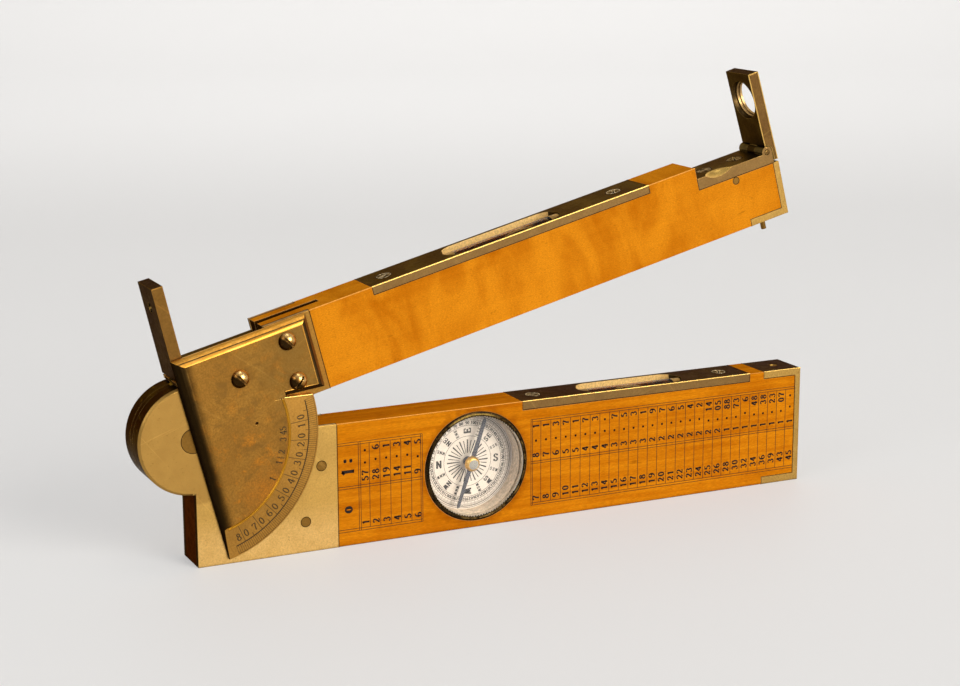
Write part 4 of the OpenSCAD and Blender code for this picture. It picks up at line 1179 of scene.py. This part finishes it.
class CLINO_OT_knuckle(bpy.types.Operator):
    """Finish the knuckle's leaves, tongue, pin, rivets and side plates"""
    bl_idname = "clino.knuckle"
    bl_label = "Knuckle joint"

    def execute(self, context):
        disc_end = CORNER.x + 12 * MM

        def rim(centre, normal):
            # the discs' rims get the dark finish: patina with a painted dark reflection
            return "rim_brass" if abs(normal.y) < 0.5 and centre.x < disc_end else "leaf_brass"

        for node in ("joint_leaf_front", "joint_leaf_back"):
            dress(node, "lower_arm", ["leaf_brass", "rim_brass"], rim)
        dress("joint_tongue", "upper_arm", ["rim_brass"])
        for node in ("upper_plate_front", "upper_plate_back"):
            dress(node, "upper_arm", ["patina_brass_upper"])
        wear_finish("rivet_brass", "joint_pin", "leaf_rivets", "upper_rivets")
        return {"FINISHED"}


class CLINO_OT_quadrant(bpy.types.Operator):
    """Finish the quadrant and its round-headed screws"""
    bl_idname = "clino.quadrant"
    bl_label = "Quadrant"

    def execute(self, context):
        step = context.scene.clino_quadrant.step

        def choose(centre, normal):
            radius = math.hypot(centre.x, centre.z)
            below = centre.z < -1.0 * MM or centre.x > step
            if (radius < step + 0.3 * MM and below and -0.97 < normal.y < -0.2
                    and normal.x > 0.02):
                return "step_brass"
            # faces turned up get a painted highlight, those turned down or partly aside get painted shade
            if normal.z > 0.3:
                return "bevel_gold"
            # the rounded index edge is painted dark as shade
            if normal.x < -0.7:
                return "index_brass"
            if radius > step + 0.1 * MM and centre.z < 1 * MM:
                return "band_brass"
            if normal.z < -0.3 and centre.x > 5 * MM:
                return "bevel_shade"
            if normal.x > 0.3:
                return "edge_brass_upper" if normal.x > 0.6 else "bevel_shade"
            return "quadrant_brass"

        dress("quadrant", "upper_arm",
              ["quadrant_brass", "bevel_gold", "index_brass", "edge_brass_upper", "band_brass",
               "step_brass", "bevel_shade"], choose, small=0.05 * MM)
        wear_finish("screw_brass", "quadrant_screws")
        return {"FINISHED"}


class CLINO_OT_quadrant_scale(bpy.types.Operator):
    """Cut the quadrant's degree divisions, lines and figures"""
    bl_idname = "clino.quadrant_scale"
    bl_label = "Quadrant scale"

    def execute(self, context):
        scale, lift = context.scene.clino_quadrant, context.scene.clino_ink.lift
        slope = (scale.rim_depth - scale.step_depth) / (scale.rim - scale.step)

        def depth(radius):
            return scale.step_depth + (radius - scale.step) * slope

        def level(radius):
            return 0.0

        # local X out from the pivot along the arm, local Y toward larger readings, local Z into
        # the arm
        to_world = FROM_UPPER @ Matrix(((1, 0, 0, 0), (0, 0, 1, QUADRANT_FACE), (0, -1, 0, 0),
                                        (0, 0, 0, 1)))
        radial, arc = radial_marks_tree(), arc_line_tree()
        degree = math.radians(1)
        tens = scale.degrees // 10
        meshes = []
        for count, first, each, inner, outer, width in (
                (scale.degrees + 1, 0, 1, scale.line, scale.rim - 0.35 * MM, 0.05 * MM),
                (tens, 10, 10, scale.step + 0.5 * MM, scale.line, 0.10 * MM),
                (tens, 5, 10, scale.line - 0.9 * MM, scale.line, 0.09 * MM)):
            meshes.append(grow(radial, "engraving_wax", to_world, Count=count,
                               Start=first * degree, Step=each * degree, Inner=inner, Outer=outer,
                               Foot_width=width, Tip_width=width, Height=depth(inner) - lift,
                               Slope=slope, Depth=2 * lift))
        for radius, width in ((scale.line, 0.24 * MM), (scale.rim - 0.3 * MM, 0.06 * MM)):
            meshes.append(grow(arc, "engraving_wax", to_world, Radius=radius, Start=0.0,
                               Sweep=scale.degrees * degree, Steps=128, Width=width,
                               Height=depth(radius) - lift, Depth=2 * lift))
        pen = PenWork(0.09, 0.15)

        def round_at(angle, radius, sunk):
            def place(x, y, top):
                r = radius - y
                a = angle - x / radius
                back = sunk(r) - (2 * lift if top else -lift)
                return to_world @ Vector((r * math.cos(a), r * math.sin(a), back))
            return place

        for ten in range(1, 9):
            pen.write(str(ten * 10), 1.75 * MM, 1.95 * MM,
                      round_at(ten * 10 * degree, 24.75 * MM, depth))
        # the inner scale: a rise of one in each of these, and one in one and a half
        halves = math.atan(2 / 3) - 3.2 * degree
        for text, angle, radius, size, step in (
                *((str(run), math.atan(1 / run), 20.0, 1.5, 1.4) for run in (5, 4, 3, 2)),
                ("1", math.atan(2 / 3), 20.0, 1.5, 1.4), ("1", math.atan(1), 20.0, 1.5, 1.4),
                ("1", halves, 19.1, 0.75, 0.6), ("2", halves, 20.0, 0.75, 0.6)):
            pen.write(text, size * MM, step * MM, round_at(angle, radius * MM, level))
        meshes.append(pen.mesh("quadrant_figures"))
        gather("quadrant_scale", meshes, "engraving_wax", "upper_arm")
        line = grow(arc, "step_brass", to_world, Radius=scale.step - 0.16 * MM,
                    Start=-6.5 * degree, Sweep=93 * degree, Steps=128, Width=0.60 * MM, Height=0.0,
                    Depth=2 * lift)
        gather("quadrant_step", [line], "step_brass", "upper_arm")
        return {"FINISHED"}


# The tables' layout, in mm from the arm's near end and up from its lower edge
TABLE_ENDS = ((32.2, 52.45), (79.5, 150.85))
LEVEL_RULES = (3.2, 3.75, 13.07, 13.6, 22.97, 23.5)
UPRIGHT_RULES = (  # how many, the first one's place, their pitch, their foot and their length
    (2, 37.15, 0.45, 3.2, 20.3), (5, 39.73, 2.51, 3.75, 19.2), (2, 52.05, 0.4, 3.2, 20.3),
    (2, 79.5, 0.4, 3.2, 20.3), (28, 82.02, 2.551, 3.75, 19.2))
RATIO_ENDS = (14.35, 22.55)
LONE_DOTS = (18.6, 21.4)
LEFT_DEGREES = (*range(1, 7),)
RIGHT_DEGREES = (*range(7, 27), 28, 30, 32, 34, 36, 39, 43, 45)


def run_for_one(angle):
    """How far a slope runs for a rise of one, as the tables give it."""
    run = 1 / math.tan(math.radians(angle))
    figures = f"{run:.0f}." if angle == 1 else f"{run:.1f}" if angle < 25 else f"{run:.2f}"
    return figures.rstrip("0").rstrip(".")


class CLINO_OT_tables(bpy.types.Operator):
    """Print the two slope tables on the lower arm"""
    bl_idname = "clino.tables"
    bl_label = "Slope tables"

    def execute(self, context):
        ink = context.scene.clino_ink
        lift, size, step = ink.lift, ink.figure_height, ink.figure_step
        ruled = ruled_lines_tree()
        upright = Matrix.Translation(CORNER) @ FACE_OUT
        across = upright @ Matrix(((0, 1, 0, 0), (1, 0, 0, 0), (0, 0, 1, 0), (0, 0, 0, 1)))
        rules = [(across, 1, low, 1.0, first, far - first)
                 for first, far in TABLE_ENDS for low in LEVEL_RULES]
        rules += [(upright, *rule) for rule in UPRIGHT_RULES]
        meshes = [grow(ruled, "printing_ink", to_world, Count=count, First=first * MM,
                       Pitch=pitch * MM, Low=low * MM, Length=length * MM, Width=ink.rule_width,
                       Depth=2 * lift) for to_world, count, first, pitch, low, length in rules]
        pen = PenWork(0.115, 0.235)

        def reading_up(x, low, height=0.0):
            def place(along, up, top):
                return CORNER + Vector((x * MM - up + height / 2, -printed(lift, top),
                                        low * MM + along))
            return place

        def column(x, angle, foot_at):
            whole, _, part = run_for_one(angle).partition(".")
            low, high = RATIO_ENDS
            pen.write(whole, size, step, reading_up(x, low, size), start=0.0)
            if part:
                pen.write(part, size, step, reading_up(x, high, size), start=-step * len(part))
                dots = ((low + high + (len(whole) - len(part)) * 1.3) / 2,)
            else:
                dots = LONE_DOTS
            for dot in dots:
                pen.write(".", size, step, reading_up(x, dot, size))
            pen.write(str(angle), size, step, reading_up(x, foot_at, size), start=0.0)

        for i, angle in enumerate(LEFT_DEGREES):
            column(38.65 + i * 2.53, angle, 4.3)
        for i, angle in enumerate(RIGHT_DEGREES):
            column(80.75 + i * 2.551, angle, 4.25 + max(0, i - 18) * 0.1)
        # plain signs at the left table's head: one in so many, and degrees
        for text, x, low in (("1:", 36.0, 18.2), ("o", 36.6, 8.3)):
            pen.write(text, 2.9 * MM, 2.5 * MM, reading_up(x, low))
        meshes.append(pen.mesh("table_figures"))
        gather("slope_tables", meshes, "printing_ink", "lower_arm")
        return {"FINISHED"}


class CLINO_OT_levels(bpy.types.Operator):
    """Finish the spirit levels and fill their vials"""
    bl_idname = "clino.levels"
    bl_label = "Spirit levels"

    def execute(self, context):
        window = abs(ARM_FACE) - 0.5 * MM
        for arm in ("lower", "upper"):
            sides, top, crest = (name + arm for name in ("edge_brass_", "dark_brass_",
                                                         "gold_edge_"))

            def plate(centre, normal):
                if abs(centre.y) < window and normal.z < 0.5:
                    return "window_gilding" if normal.y < -0.7 else top
                if abs(normal.y) > 0.9:
                    return sides
                # faces turned up and forward get the gold finish, a worn edge with a painted highlight; other tops
                # get the dark finish, patina with a painted dark reflection
                return crest if 0.25 < normal.z < 0.97 and normal.y < -0.25 else top

            dress(arm + "_level_plate", arm + "_arm",
                  [sides, top, crest, "window_gilding"], plate, large=0.3 * MM)
            # the plugs' end faces are painted dark as shade
            dress(arm + "_vial_plugs", arm + "_arm", ["plug_brass", "index_brass"],
                  lambda c, n: "index_brass" if abs(n.x) > 0.6 else "plug_brass", small=0.0)
            wear_finish("tube_glass", arm + "_vial")
            wear_finish("vial_bed_gilding", arm + "_vial_bed")
            wear_finish("top_screw_brass", arm + "_level_screws")
            self.rub_rims(arm)
            self.fill(arm)
        return {"FINISHED"}

    @staticmethod
    def rub_rims(arm):
        """Bright, broken rings and slot edges on the level plate's screws: worn edges with painted highlights."""
        body = arm + "_arm"
        spots = sorted(points_of(arm + "_level_screws", body), key=lambda p: p.x)
        top = max(p.z for p in spots)
        middle = (spots[0].x + spots[-1].x) / 2
        left, right = [p for p in spots if p.x < middle], [p for p in spots if p.x > middle]
        points, edges, parts, half_slot = [], [], 32, 0.27 * MM
        for head, turned in ((left, 25), (right, 65)):
            centre = (head[0].x + head[-1].x) / 2
            radius = (head[-1].x - head[0].x) / 2 - 0.24 * MM
            lip = (Matrix.Translation((centre, 0, top))
                   @ Matrix.Rotation(math.radians(turned), 4, "Z"))
            start = len(points)
            points += [lip @ Vector((*spot, 0)) for spot in circle(radius, parts)]
            edges += [(start + i, start + (i + 1) % parts) for i in range(parts)]
            for side in (-half_slot, half_slot):
                edges.append((len(points), len(points) + 1))
                points += [lip @ Vector((end * radius * 0.85, side, 0)) for end in (-1, 1)]
        ring = grow(thread_tree(), "rim_gold", body_turn(body).inverted(),
                    source=wire("screw_lips", points, edges), Thickness=0.15 * MM)
        gather(arm + "_screw_rims", [ring], "rim_gold", body)

    @staticmethod
    def fill(arm):
        """Spirit as a closed body inside the tube, with its bubble as a hollow at the top."""
        body = arm + "_arm"
        low, high = extent(points_of(arm + "_vial", body))
        middle = (low + high) / 2
        radius = (high.z - low.z) / 2 - 0.55 * MM
        half = (high.x - low.x) / 2 - 1.02 * MM
        bm = bmesh.new()
        sides = 48
        first, last = (bm.verts.new((x, 0, 0)) for x in (-half, half))
        near, far = ([bm.verts.new((x, *spot)) for spot in circle(radius, sides)]
                     for x in (-half, half))
        for i in range(sides):
            j = (i + 1) % sides
            bm.faces.new((first, near[j], near[i]))
            bm.faces.new((near[i], near[j], far[j], far[i]))
            bm.faces.new((far[i], far[j], last))
        bmesh.ops.recalc_face_normals(bm, faces=bm.faces)
        bubble_at = (0.0 if arm == "lower" else half * 0.42, 0, radius - 1.12 * MM)
        bubble_size = Matrix.Diagonal((4.4 * MM, 1.7 * MM, 1.0 * MM, 1))
        bubble = bmesh.ops.create_uvsphere(bm, u_segments=32, v_segments=16, radius=1.0,
                                           matrix=Matrix.Translation(bubble_at) @ bubble_size)
        inside_out = {f for vert in bubble["verts"] for f in vert.link_faces}
        bmesh.ops.reverse_faces(bm, faces=list(inside_out))
        mesh = mesh_from(bm, arm + "_spirit")
        mesh.materials.append(finish("yellow_spirit"))
        smooth_by_angle(mesh, 50)
        mesh.transform(body_turn(body).inverted() @ Matrix.Translation(middle))
        place_piece(mesh, arm + "_spirit", body)


# An arc just short of a whole turn, so that its two ends don't meet
WHOLE_ARC = math.tau * 0.9999


def inner_radius():
    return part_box("compass_glass")[1].x - COMPASS.x


def facing_out(y):
    """Turns local directions as FACE_OUT does, round the compass's centre and at this depth."""
    return Matrix.Translation((COMPASS.x, y, COMPASS.z)) @ FACE_OUT


class CLINO_OT_compass(bpy.types.Operator):
    """Finish the compass case, glass, needle and cap"""
    bl_idname = "clino.compass"
    bl_label = "Compass"

    def execute(self, context):
        wear_finish("silvered_wall", "compass_bowl")
        wear_finish("clear_glass", "compass_glass")
        wear_finish("silvered_card", "compass_dial")
        wear_finish("needle_steel", "compass_post", "compass_needle")
        low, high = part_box("compass_bezel")
        inner = inner_radius()
        crest = grow(arc_line_tree(), "bezel_crest", facing_out(low.y),
                     Radius=(high.x - low.x) / 4 + inner / 2, Start=0.0, Sweep=WHOLE_ARC,
                     Steps=160, Width=0.44 * MM, Height=0.0, Depth=0.03 * MM)
        gather("bezel_crest", [crest], "bezel_crest", "lower_arm")

        def ring(centre, normal):
            away = math.hypot(centre.x - COMPASS.x, centre.z - COMPASS.z)
            if away > inner + 0.10 * MM:
                return "bezel_brass"
            return "silver_ring" if normal.y < -0.3 else "silvered_wall"

        dress("compass_bezel", "lower_arm",
              ["bezel_brass", "silver_ring", "silvered_wall"], ring, small=0.0)
        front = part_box("needle_cap")[0].y + 0.1 * MM
        dress("needle_cap", "needle", ["cap_brass", "agate"],
              lambda c, n: "agate" if n.y < -0.9 and c.y < front else "cap_brass", small=0.0)
        return {"FINISHED"}


CARD_POINTS = ("E", "ESE", "SE", "SSE", "S", "SSW", "SW", "WSW", "W", "WNW", "NW", "NNW", "N",
               "NNE", "NE", "ENE")
LETTERS = {1: (1.75, 1.5), 2: (1.2, 1.08), 3: (0.72, 0.74)}  # height and step, in mm


class CLINO_OT_compass_card(bpy.types.Operator):
    """Print the compass card: rose, points, degree figures and ticks"""
    bl_idname = "clino.compass_card"
    bl_label = "Compass card"

    def execute(self, context):
        card, lift = context.scene.clino_compass, context.scene.clino_ink.lift
        to_world = facing_out(DIAL_FACE)
        radial, arc = radial_marks_tree(), arc_line_tree()
        figures, ticks = card.figures / MM, card.ticks / MM
        meshes = []
        for count, start, inner, outer, foot_width, tip_width in (
                (16, 0.0, 1.9, 5.1, 0.18, 0.33), (16, math.tau / 32, 2.1, 4.9, 0.10, 0.21),
                (72, 0.0, figures, ticks, 0.06, 0.06),
                (360, 0.0, figures + 0.45, ticks, 0.045, 0.045)):
            meshes.append(grow(radial, "dial_ink", to_world, Count=count, Start=start,
                               Step=math.tau / count, Inner=inner * MM, Outer=outer * MM,
                               Foot_width=foot_width * MM, Tip_width=tip_width * MM, Height=0.0,
                               Slope=0.0, Depth=2 * lift))
        for radius, width in ((card.rose, 0.09), (card.names, 0.09), (card.figures, 0.09),
                              (card.ticks, 0.13), (card.ticks + 0.35 * MM, 0.10)):
            meshes.append(grow(arc, "dial_ink", to_world, Radius=radius, Start=0.0,
                               Sweep=WHOLE_ARC, Steps=128, Width=width * MM, Height=0.0,
                               Depth=2 * lift))
        pen = PenWork(0.14, 0.25)

        def outward(angle, radius):
            def place(x, y, top):
                r, a = radius + y, angle - x / (radius + y * 0.5)
                return to_world @ Vector((r * math.cos(a), r * math.sin(a), printed(lift, top)))
            return place

        def along_radius(angle, size):
            def place(x, y, top):
                r, side = (card.rose + card.names) / 2 + x, y - size / 2
                return to_world @ Vector((r * math.cos(angle) - side * math.sin(angle),
                                          r * math.sin(angle) + side * math.cos(angle),
                                          printed(lift, top)))
            return place

        for i, name in enumerate(CARD_POINTS):
            size, step = (k * MM for k in LETTERS[len(name)])
            pen.write(name, size, step, along_radius(math.pi / 2 - i * math.tau / 16, size),
                      narrow=0.74)
        for ten in range(1, 37):
            pen.write(str(ten * 10), 0.72 * MM, 0.50 * MM,
                      outward(math.pi - ten * math.tau / 36, card.names + 0.24 * MM))
        meshes.append(pen.mesh("card_figures"))
        gather("compass_card", meshes, "dial_ink", "lower_arm")
        return {"FINISHED"}


class CLINO_OT_sights(bpy.types.Operator):
    """Finish the folding sights, their bases, pins and screws"""
    bl_idname = "clino.sights"
    bl_label = "Sights"

    def execute(self, context):
        def base(centre, normal):
            # upward faces turned front or back get the bright gold finish: worn brass with a painted highlight
            if normal.z > 0.3 and abs(normal.y) > 0.1:
                return "gold_edge_upper"
            return "edge_brass_upper" if abs(normal.y) > 0.5 else "dark_brass_upper"

        for sight, cheeks in (("front_sight", "worn_brass"), ("rear_sight", "brown_brass")):
            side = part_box(sight + "_leaf")[1].y - 0.3 * MM

            def leaf(centre, normal):
                # all but the broad outer faces get the dim finish: patina with a painted dark reflection
                outer = abs(normal.y) >= 0.6 and abs(centre.y) >= side
                return cheeks if outer else "dim_brass"

            dress(sight + "_leaf", sight, [cheeks, "dim_brass"], leaf)
        for node in ("front_sight_base", "rear_sight_base"):
            dress(node, "upper_arm",
                  ["edge_brass_upper", "dark_brass_upper", "gold_edge_upper"], base)
        wear_finish("ring_brass", "front_sight_ring")
        wear_finish("worn_brass", "front_sight_pin", "rear_sight_pin")
        wear_finish("top_screw_brass", "front_base_screws", "rear_base_screws")
        wear_finish("rivet_brass", "cross_pin")
        return {"FINISHED"}


class CLINO_OT_caps(bpy.types.Operator):
    """Finish the brass end caps and the locating pin"""
    bl_idname = "clino.caps"
    bl_label = "End caps"

    def execute(self, context):
        for arm in ("lower", "upper"):
            names = ["end_cap_brass_" + arm, "dark_brass_" + arm]
            # the caps' upward faces get the dark finish: patina with a painted dark reflection
            dress(arm + "_end_cap", arm + "_arm", names,
                  lambda c, n: names[n.z > 0.9])
        wear_finish("rivet_brass", "locating_pin")
        return {"FINISHED"}


FLUSH_NODES = {
    "lower_arm": ("joint_leaf_front", "joint_leaf_back", "joint_pin", "leaf_rivets",
                  "lower_level_plate", "lower_level_screws", "lower_end_cap"),
    "upper_arm": ("upper_plate_front", "upper_plate_back", "upper_rivets", "upper_level_plate",
                  "upper_level_screws", "front_sight_base", "front_base_screws",
                  "rear_sight_base", "rear_base_screws", "upper_end_cap", "cross_pin"),
}


class CLINO_OT_seams(bpy.types.Operator):
    """Darken the joins between the flush pieces"""
    bl_idname = "clino.seams"
    bl_label = "Seams"

    def execute(self, context):
        thread, width = thread_tree(), context.scene.clino_wood.seam
        for body, nodes in FLUSH_NODES.items():
            mesh = grow(thread, "seam_dirt", Matrix.Identity(4), source=flush_edges(body, nodes),
                        Thickness=width)
            gather(body.replace("arm", "seams"), [mesh], "seam_dirt", body)
        return {"FINISHED"}


class CLINO_OT_worn_edges(bpy.types.Operator):
    """Bright threads on the long front edges and the quadrant's bevels: worn edges with painted highlights"""
    bl_idname = "clino.worn_edges"
    bl_label = "Worn edges and highlights"

    def execute(self, context):
        near = 0.06 * MM
        thread = thread_tree()

        def front(point, low, high):
            return point.y < low.y + near

        def top_front(point, low, high):
            return front(point, low, high) and point.z > high.z - near

        for node, name, thickness, keep, body, slot in (
                ("lower_wood", "worn_wood_highlight", 0.20, top_front, "lower_arm", "boxwood"),
                ("upper_wood", "worn_wood_highlight", 0.22, top_front, "upper_arm", "boxwood"),
                ("lower_level_plate", "gold_edge_lower", 0.26, top_front, "lower_arm",
                 "dark_brass"),
                ("upper_level_plate", "gold_edge_upper", 0.34, top_front, "upper_arm",
                 "dark_brass"),
                ("lower_end_cap", "gold_edge_lower", 0.20, top_front, "lower_arm", "pale_brass"),
                ("front_sight_leaf", "gold_edge_upper", 0.26, front, "front_sight",
                 "patinated_brass")):
            mesh = grow(thread, name, body_turn(body).inverted(),
                        source=long_edges(node, body, keep), Thickness=thickness * MM)
            gather(node + "_edge", [mesh], name, body)
        # the quadrant's lines, in mm along the arm, into it from the quadrant's face, and up
        far, top = (max(p[k] for p in points_of("quadrant", "upper_arm")) / MM for k in (0, 2))
        for name, material, thickness, path in (
                ("bevel_line", "engraving_wax", 0.17,
                 ((1.2, 0.44, top - 0.8), (far - 0.8, 0.44, top - 0.8))),
                ("bevel_edge", "bevel_gold", 0.28,
                 ((far - 1.7, 0.06, top - 1.7), (far - 1.7, 0.06, 2.83), (21.6, 0.06, 3.85))),
                # a bright thread along the band's upper end, a painted highlight
                ("band_end", "gold_edge_upper", 0.42, ((21.2, 0.85, 2.30), (27.7, 1.55, 0.50)))):
            points = [(x * MM, QUADRANT_FACE + depth * MM, z * MM) for x, depth, z in path]
            line = wire(name, points, [(i, i + 1) for i in range(len(path) - 1)])
            mesh = grow(thread, material, FROM_UPPER, source=line, Thickness=thickness * MM)
            gather(name, [mesh], material, "upper_arm")
        return {"FINISHED"}


# The camera, fitted to the photograph's straight edges and circles: turn, tilt, roll and place
CAMERA_ANGLES = (25.414, 12.766, -0.191)
CAMERA_SPOT = (-0.20174, -0.40966, 0.14417)


class CLINO_OT_stage(bpy.types.Operator):
    """Set the floor, the lamps and the camera"""
    bl_idname = "clino.stage"
    bl_label = "Stage"

    def execute(self, context):
        scene, stage = context.scene, context.scene.clino_stage
        self.backdrop(stage)
        self.world(scene, stage)
        self.lamp("key", (0.88, -1.90, 0.88), 1.40, stage.key, (1.0, 0.97, 0.92))
        self.lamp("top", (0.06, -0.10, 0.95), 0.30, stage.top, (1.0, 0.98, 0.95))
        self.lamp("fill", (-0.75, -0.30, 0.50), 0.50, stage.fill, (0.95, 0.97, 1.0))
        self.lamp("back", (0.30, 0.60, 0.90), 0.80, stage.back, (1.0, 1.0, 1.0),
                  aim=(0.75, 2.2, 0.45))
        self.camera(scene, stage)
        scene.view_settings.view_transform = "Standard"
        return {"FINISHED"}

    @staticmethod
    def backdrop(stage):
        """A floor that bends up into a wall, square to the camera."""
        reach, bend, wall, height, turned = 4.0, 0.5, 1.6, 3.0, 25.4
        turns = [math.radians(9 * i) for i in range(11)]
        profile = [(-reach, 0.0),
                   *((wall - bend + bend * math.sin(a), bend - bend * math.cos(a)) for a in turns),
                   (wall, height)]
        bm = bmesh.new()
        rows = [[bm.verts.new((x, y, z)) for x in (-reach, reach)] for y, z in profile]
        for a, b in zip(rows, rows[1:]):
            bm.faces.new((a[0], a[1], b[1], b[0]))
        mesh = mesh_from(bm, "backdrop")
        mesh.transform(Matrix.Rotation(-math.radians(turned), 4, "Z"))
        mesh.shade_smooth()
        tree, shader, out = start_material("pale_backdrop")
        floor = tuple(stage.floor)
        cloud = spread(tree, noise(tree, object_place(tree), 3.0, 2.0), 0.3, 0.7)
        feed(tree, shader, {"Base Color": blend_colour(tree, cloud, floor, times(floor, 0.985)),
                            "Roughness": 0.5, "Specular IOR Level": 0.25})
        path = add(tree, "ShaderNodeLightPath").outputs
        seen = maths(tree, "MAXIMUM", path["Is Camera Ray"],
                     maths(tree, "MAXIMUM", path["Is Glossy Ray"], path["Is Transmission Ray"]))
        even = add(tree, "ShaderNodeEmission", {"Color": (*floor, 1), "Strength": 1.0}).outputs[0]
        share = maths(tree, "MULTIPLY", seen, stage.even)
        feed(tree, out, {0: mixed_shader(tree, share, shader.outputs[0], even)})
        mesh.materials.append(finish("pale_backdrop"))
        link(mesh, "backdrop")

    @staticmethod
    def world(scene, stage):
        """Plain light from all round, which the camera sees as pale grey."""
        world = bpy.data.worlds.new("studio")
        world.use_nodes = True
        tree = world.node_tree
        tree.nodes.clear()
        path = add(tree, "ShaderNodeLightPath").outputs
        seen = maths(tree, "MAXIMUM", path["Is Camera Ray"], path["Is Transmission Ray"])
        light, pale = (
            add(tree, "ShaderNodeBackground", {"Color": colour, "Strength": strength}).outputs[0]
            for colour, strength in (((1, 1, 1, 1), stage.sky), ((0.78, 0.78, 0.78, 1), 1.0)))
        add(tree, "ShaderNodeOutputWorld", {0: mixed_shader(tree, seen, light, pale)})
        scene.world = world

    @staticmethod
    def lamp(name, spot, size, power, colour, aim=(0, 0, 0.04)):
        """A round soft lamp, turned toward a point."""
        data = bpy.data.lights.new(name, "AREA")
        data.shape, data.size, data.energy, data.color = "DISK", size, power, colour
        turn = (Vector(aim) - Vector(spot)).to_track_quat("-Z", "Y").to_matrix().to_4x4()
        link(data, name).matrix_world = Matrix.Translation(spot) @ turn

    @staticmethod
    def camera(scene, stage):
        yaw, pitch, roll = (math.radians(a) for a in CAMERA_ANGLES)
        ahead = Vector((math.sin(yaw) * math.cos(pitch), math.cos(yaw) * math.cos(pitch),
                        -math.sin(pitch)))
        level = Vector((math.cos(yaw), -math.sin(yaw), 0))
        upright = level.cross(ahead)
        right = level * math.cos(roll) + upright * math.sin(roll)
        up = upright * math.cos(roll) - level * math.sin(roll)
        data = bpy.data.cameras.new("camera")
        data.sensor_fit, data.sensor_width, data.lens = "HORIZONTAL", 36.0, stage.lens / MM
        data.clip_start, data.clip_end = 0.01, 20.0
        made = link(data, "camera")
        turn = Matrix((right, up, -ahead)).transposed().to_4x4()
        made.matrix_world = Matrix.Translation(CAMERA_SPOT) @ turn
        scene.camera = made


class CLINO_PT_panel(bpy.types.Panel):
    bl_idname = "CLINO_PT_panel"
    bl_label = "Clinometer"
    bl_space_type = "VIEW_3D"
    bl_region_type = "UI"
    bl_category = "Clinometer"

    def draw(self, context):
        layout = self.layout
        for group, title in GROUPS:
            box = layout.box()
            box.label(text=title)
            for name in getattr(context.scene, group).__annotations__:
                box.prop(getattr(context.scene, group), name)
        for operator in STEPS:
            layout.operator(operator.bl_idname)


GROUPS = (("clino_wood", "Boxwood"), ("clino_brass", "Brass"), ("clino_ink", "Ink"),
          ("clino_quadrant", "Quadrant"), ("clino_compass", "Compass"), ("clino_stage", "Stage"))
GROUP_TYPES = (WoodSettings, BrassSettings, InkSettings, QuadrantSettings, CompassSettings,
               StageSettings)
STEPS = (CLINO_OT_finishes, CLINO_OT_arms, CLINO_OT_knuckle, CLINO_OT_quadrant,
         CLINO_OT_quadrant_scale, CLINO_OT_tables, CLINO_OT_levels, CLINO_OT_compass,
         CLINO_OT_compass_card, CLINO_OT_sights, CLINO_OT_caps, CLINO_OT_seams,
         CLINO_OT_worn_edges, CLINO_OT_stage)


def register():
    for made in (*GROUP_TYPES, *STEPS, CLINO_PT_panel):
        bpy.utils.register_class(made)
    for (name, _), kind in zip(GROUPS, GROUP_TYPES):
        setattr(bpy.types.Scene, name, PointerProperty(type=kind))


def unregister():
    for name, _ in GROUPS:
        delattr(bpy.types.Scene, name)
    for made in (CLINO_PT_panel, *reversed(STEPS), *reversed(GROUP_TYPES)):
        bpy.utils.unregister_class(made)


def main():
    register()
    for step in STEPS:
        group, name = step.bl_idname.split(".")
        getattr(getattr(bpy.ops, group), name)()


if __name__ == "__main__":
    main()
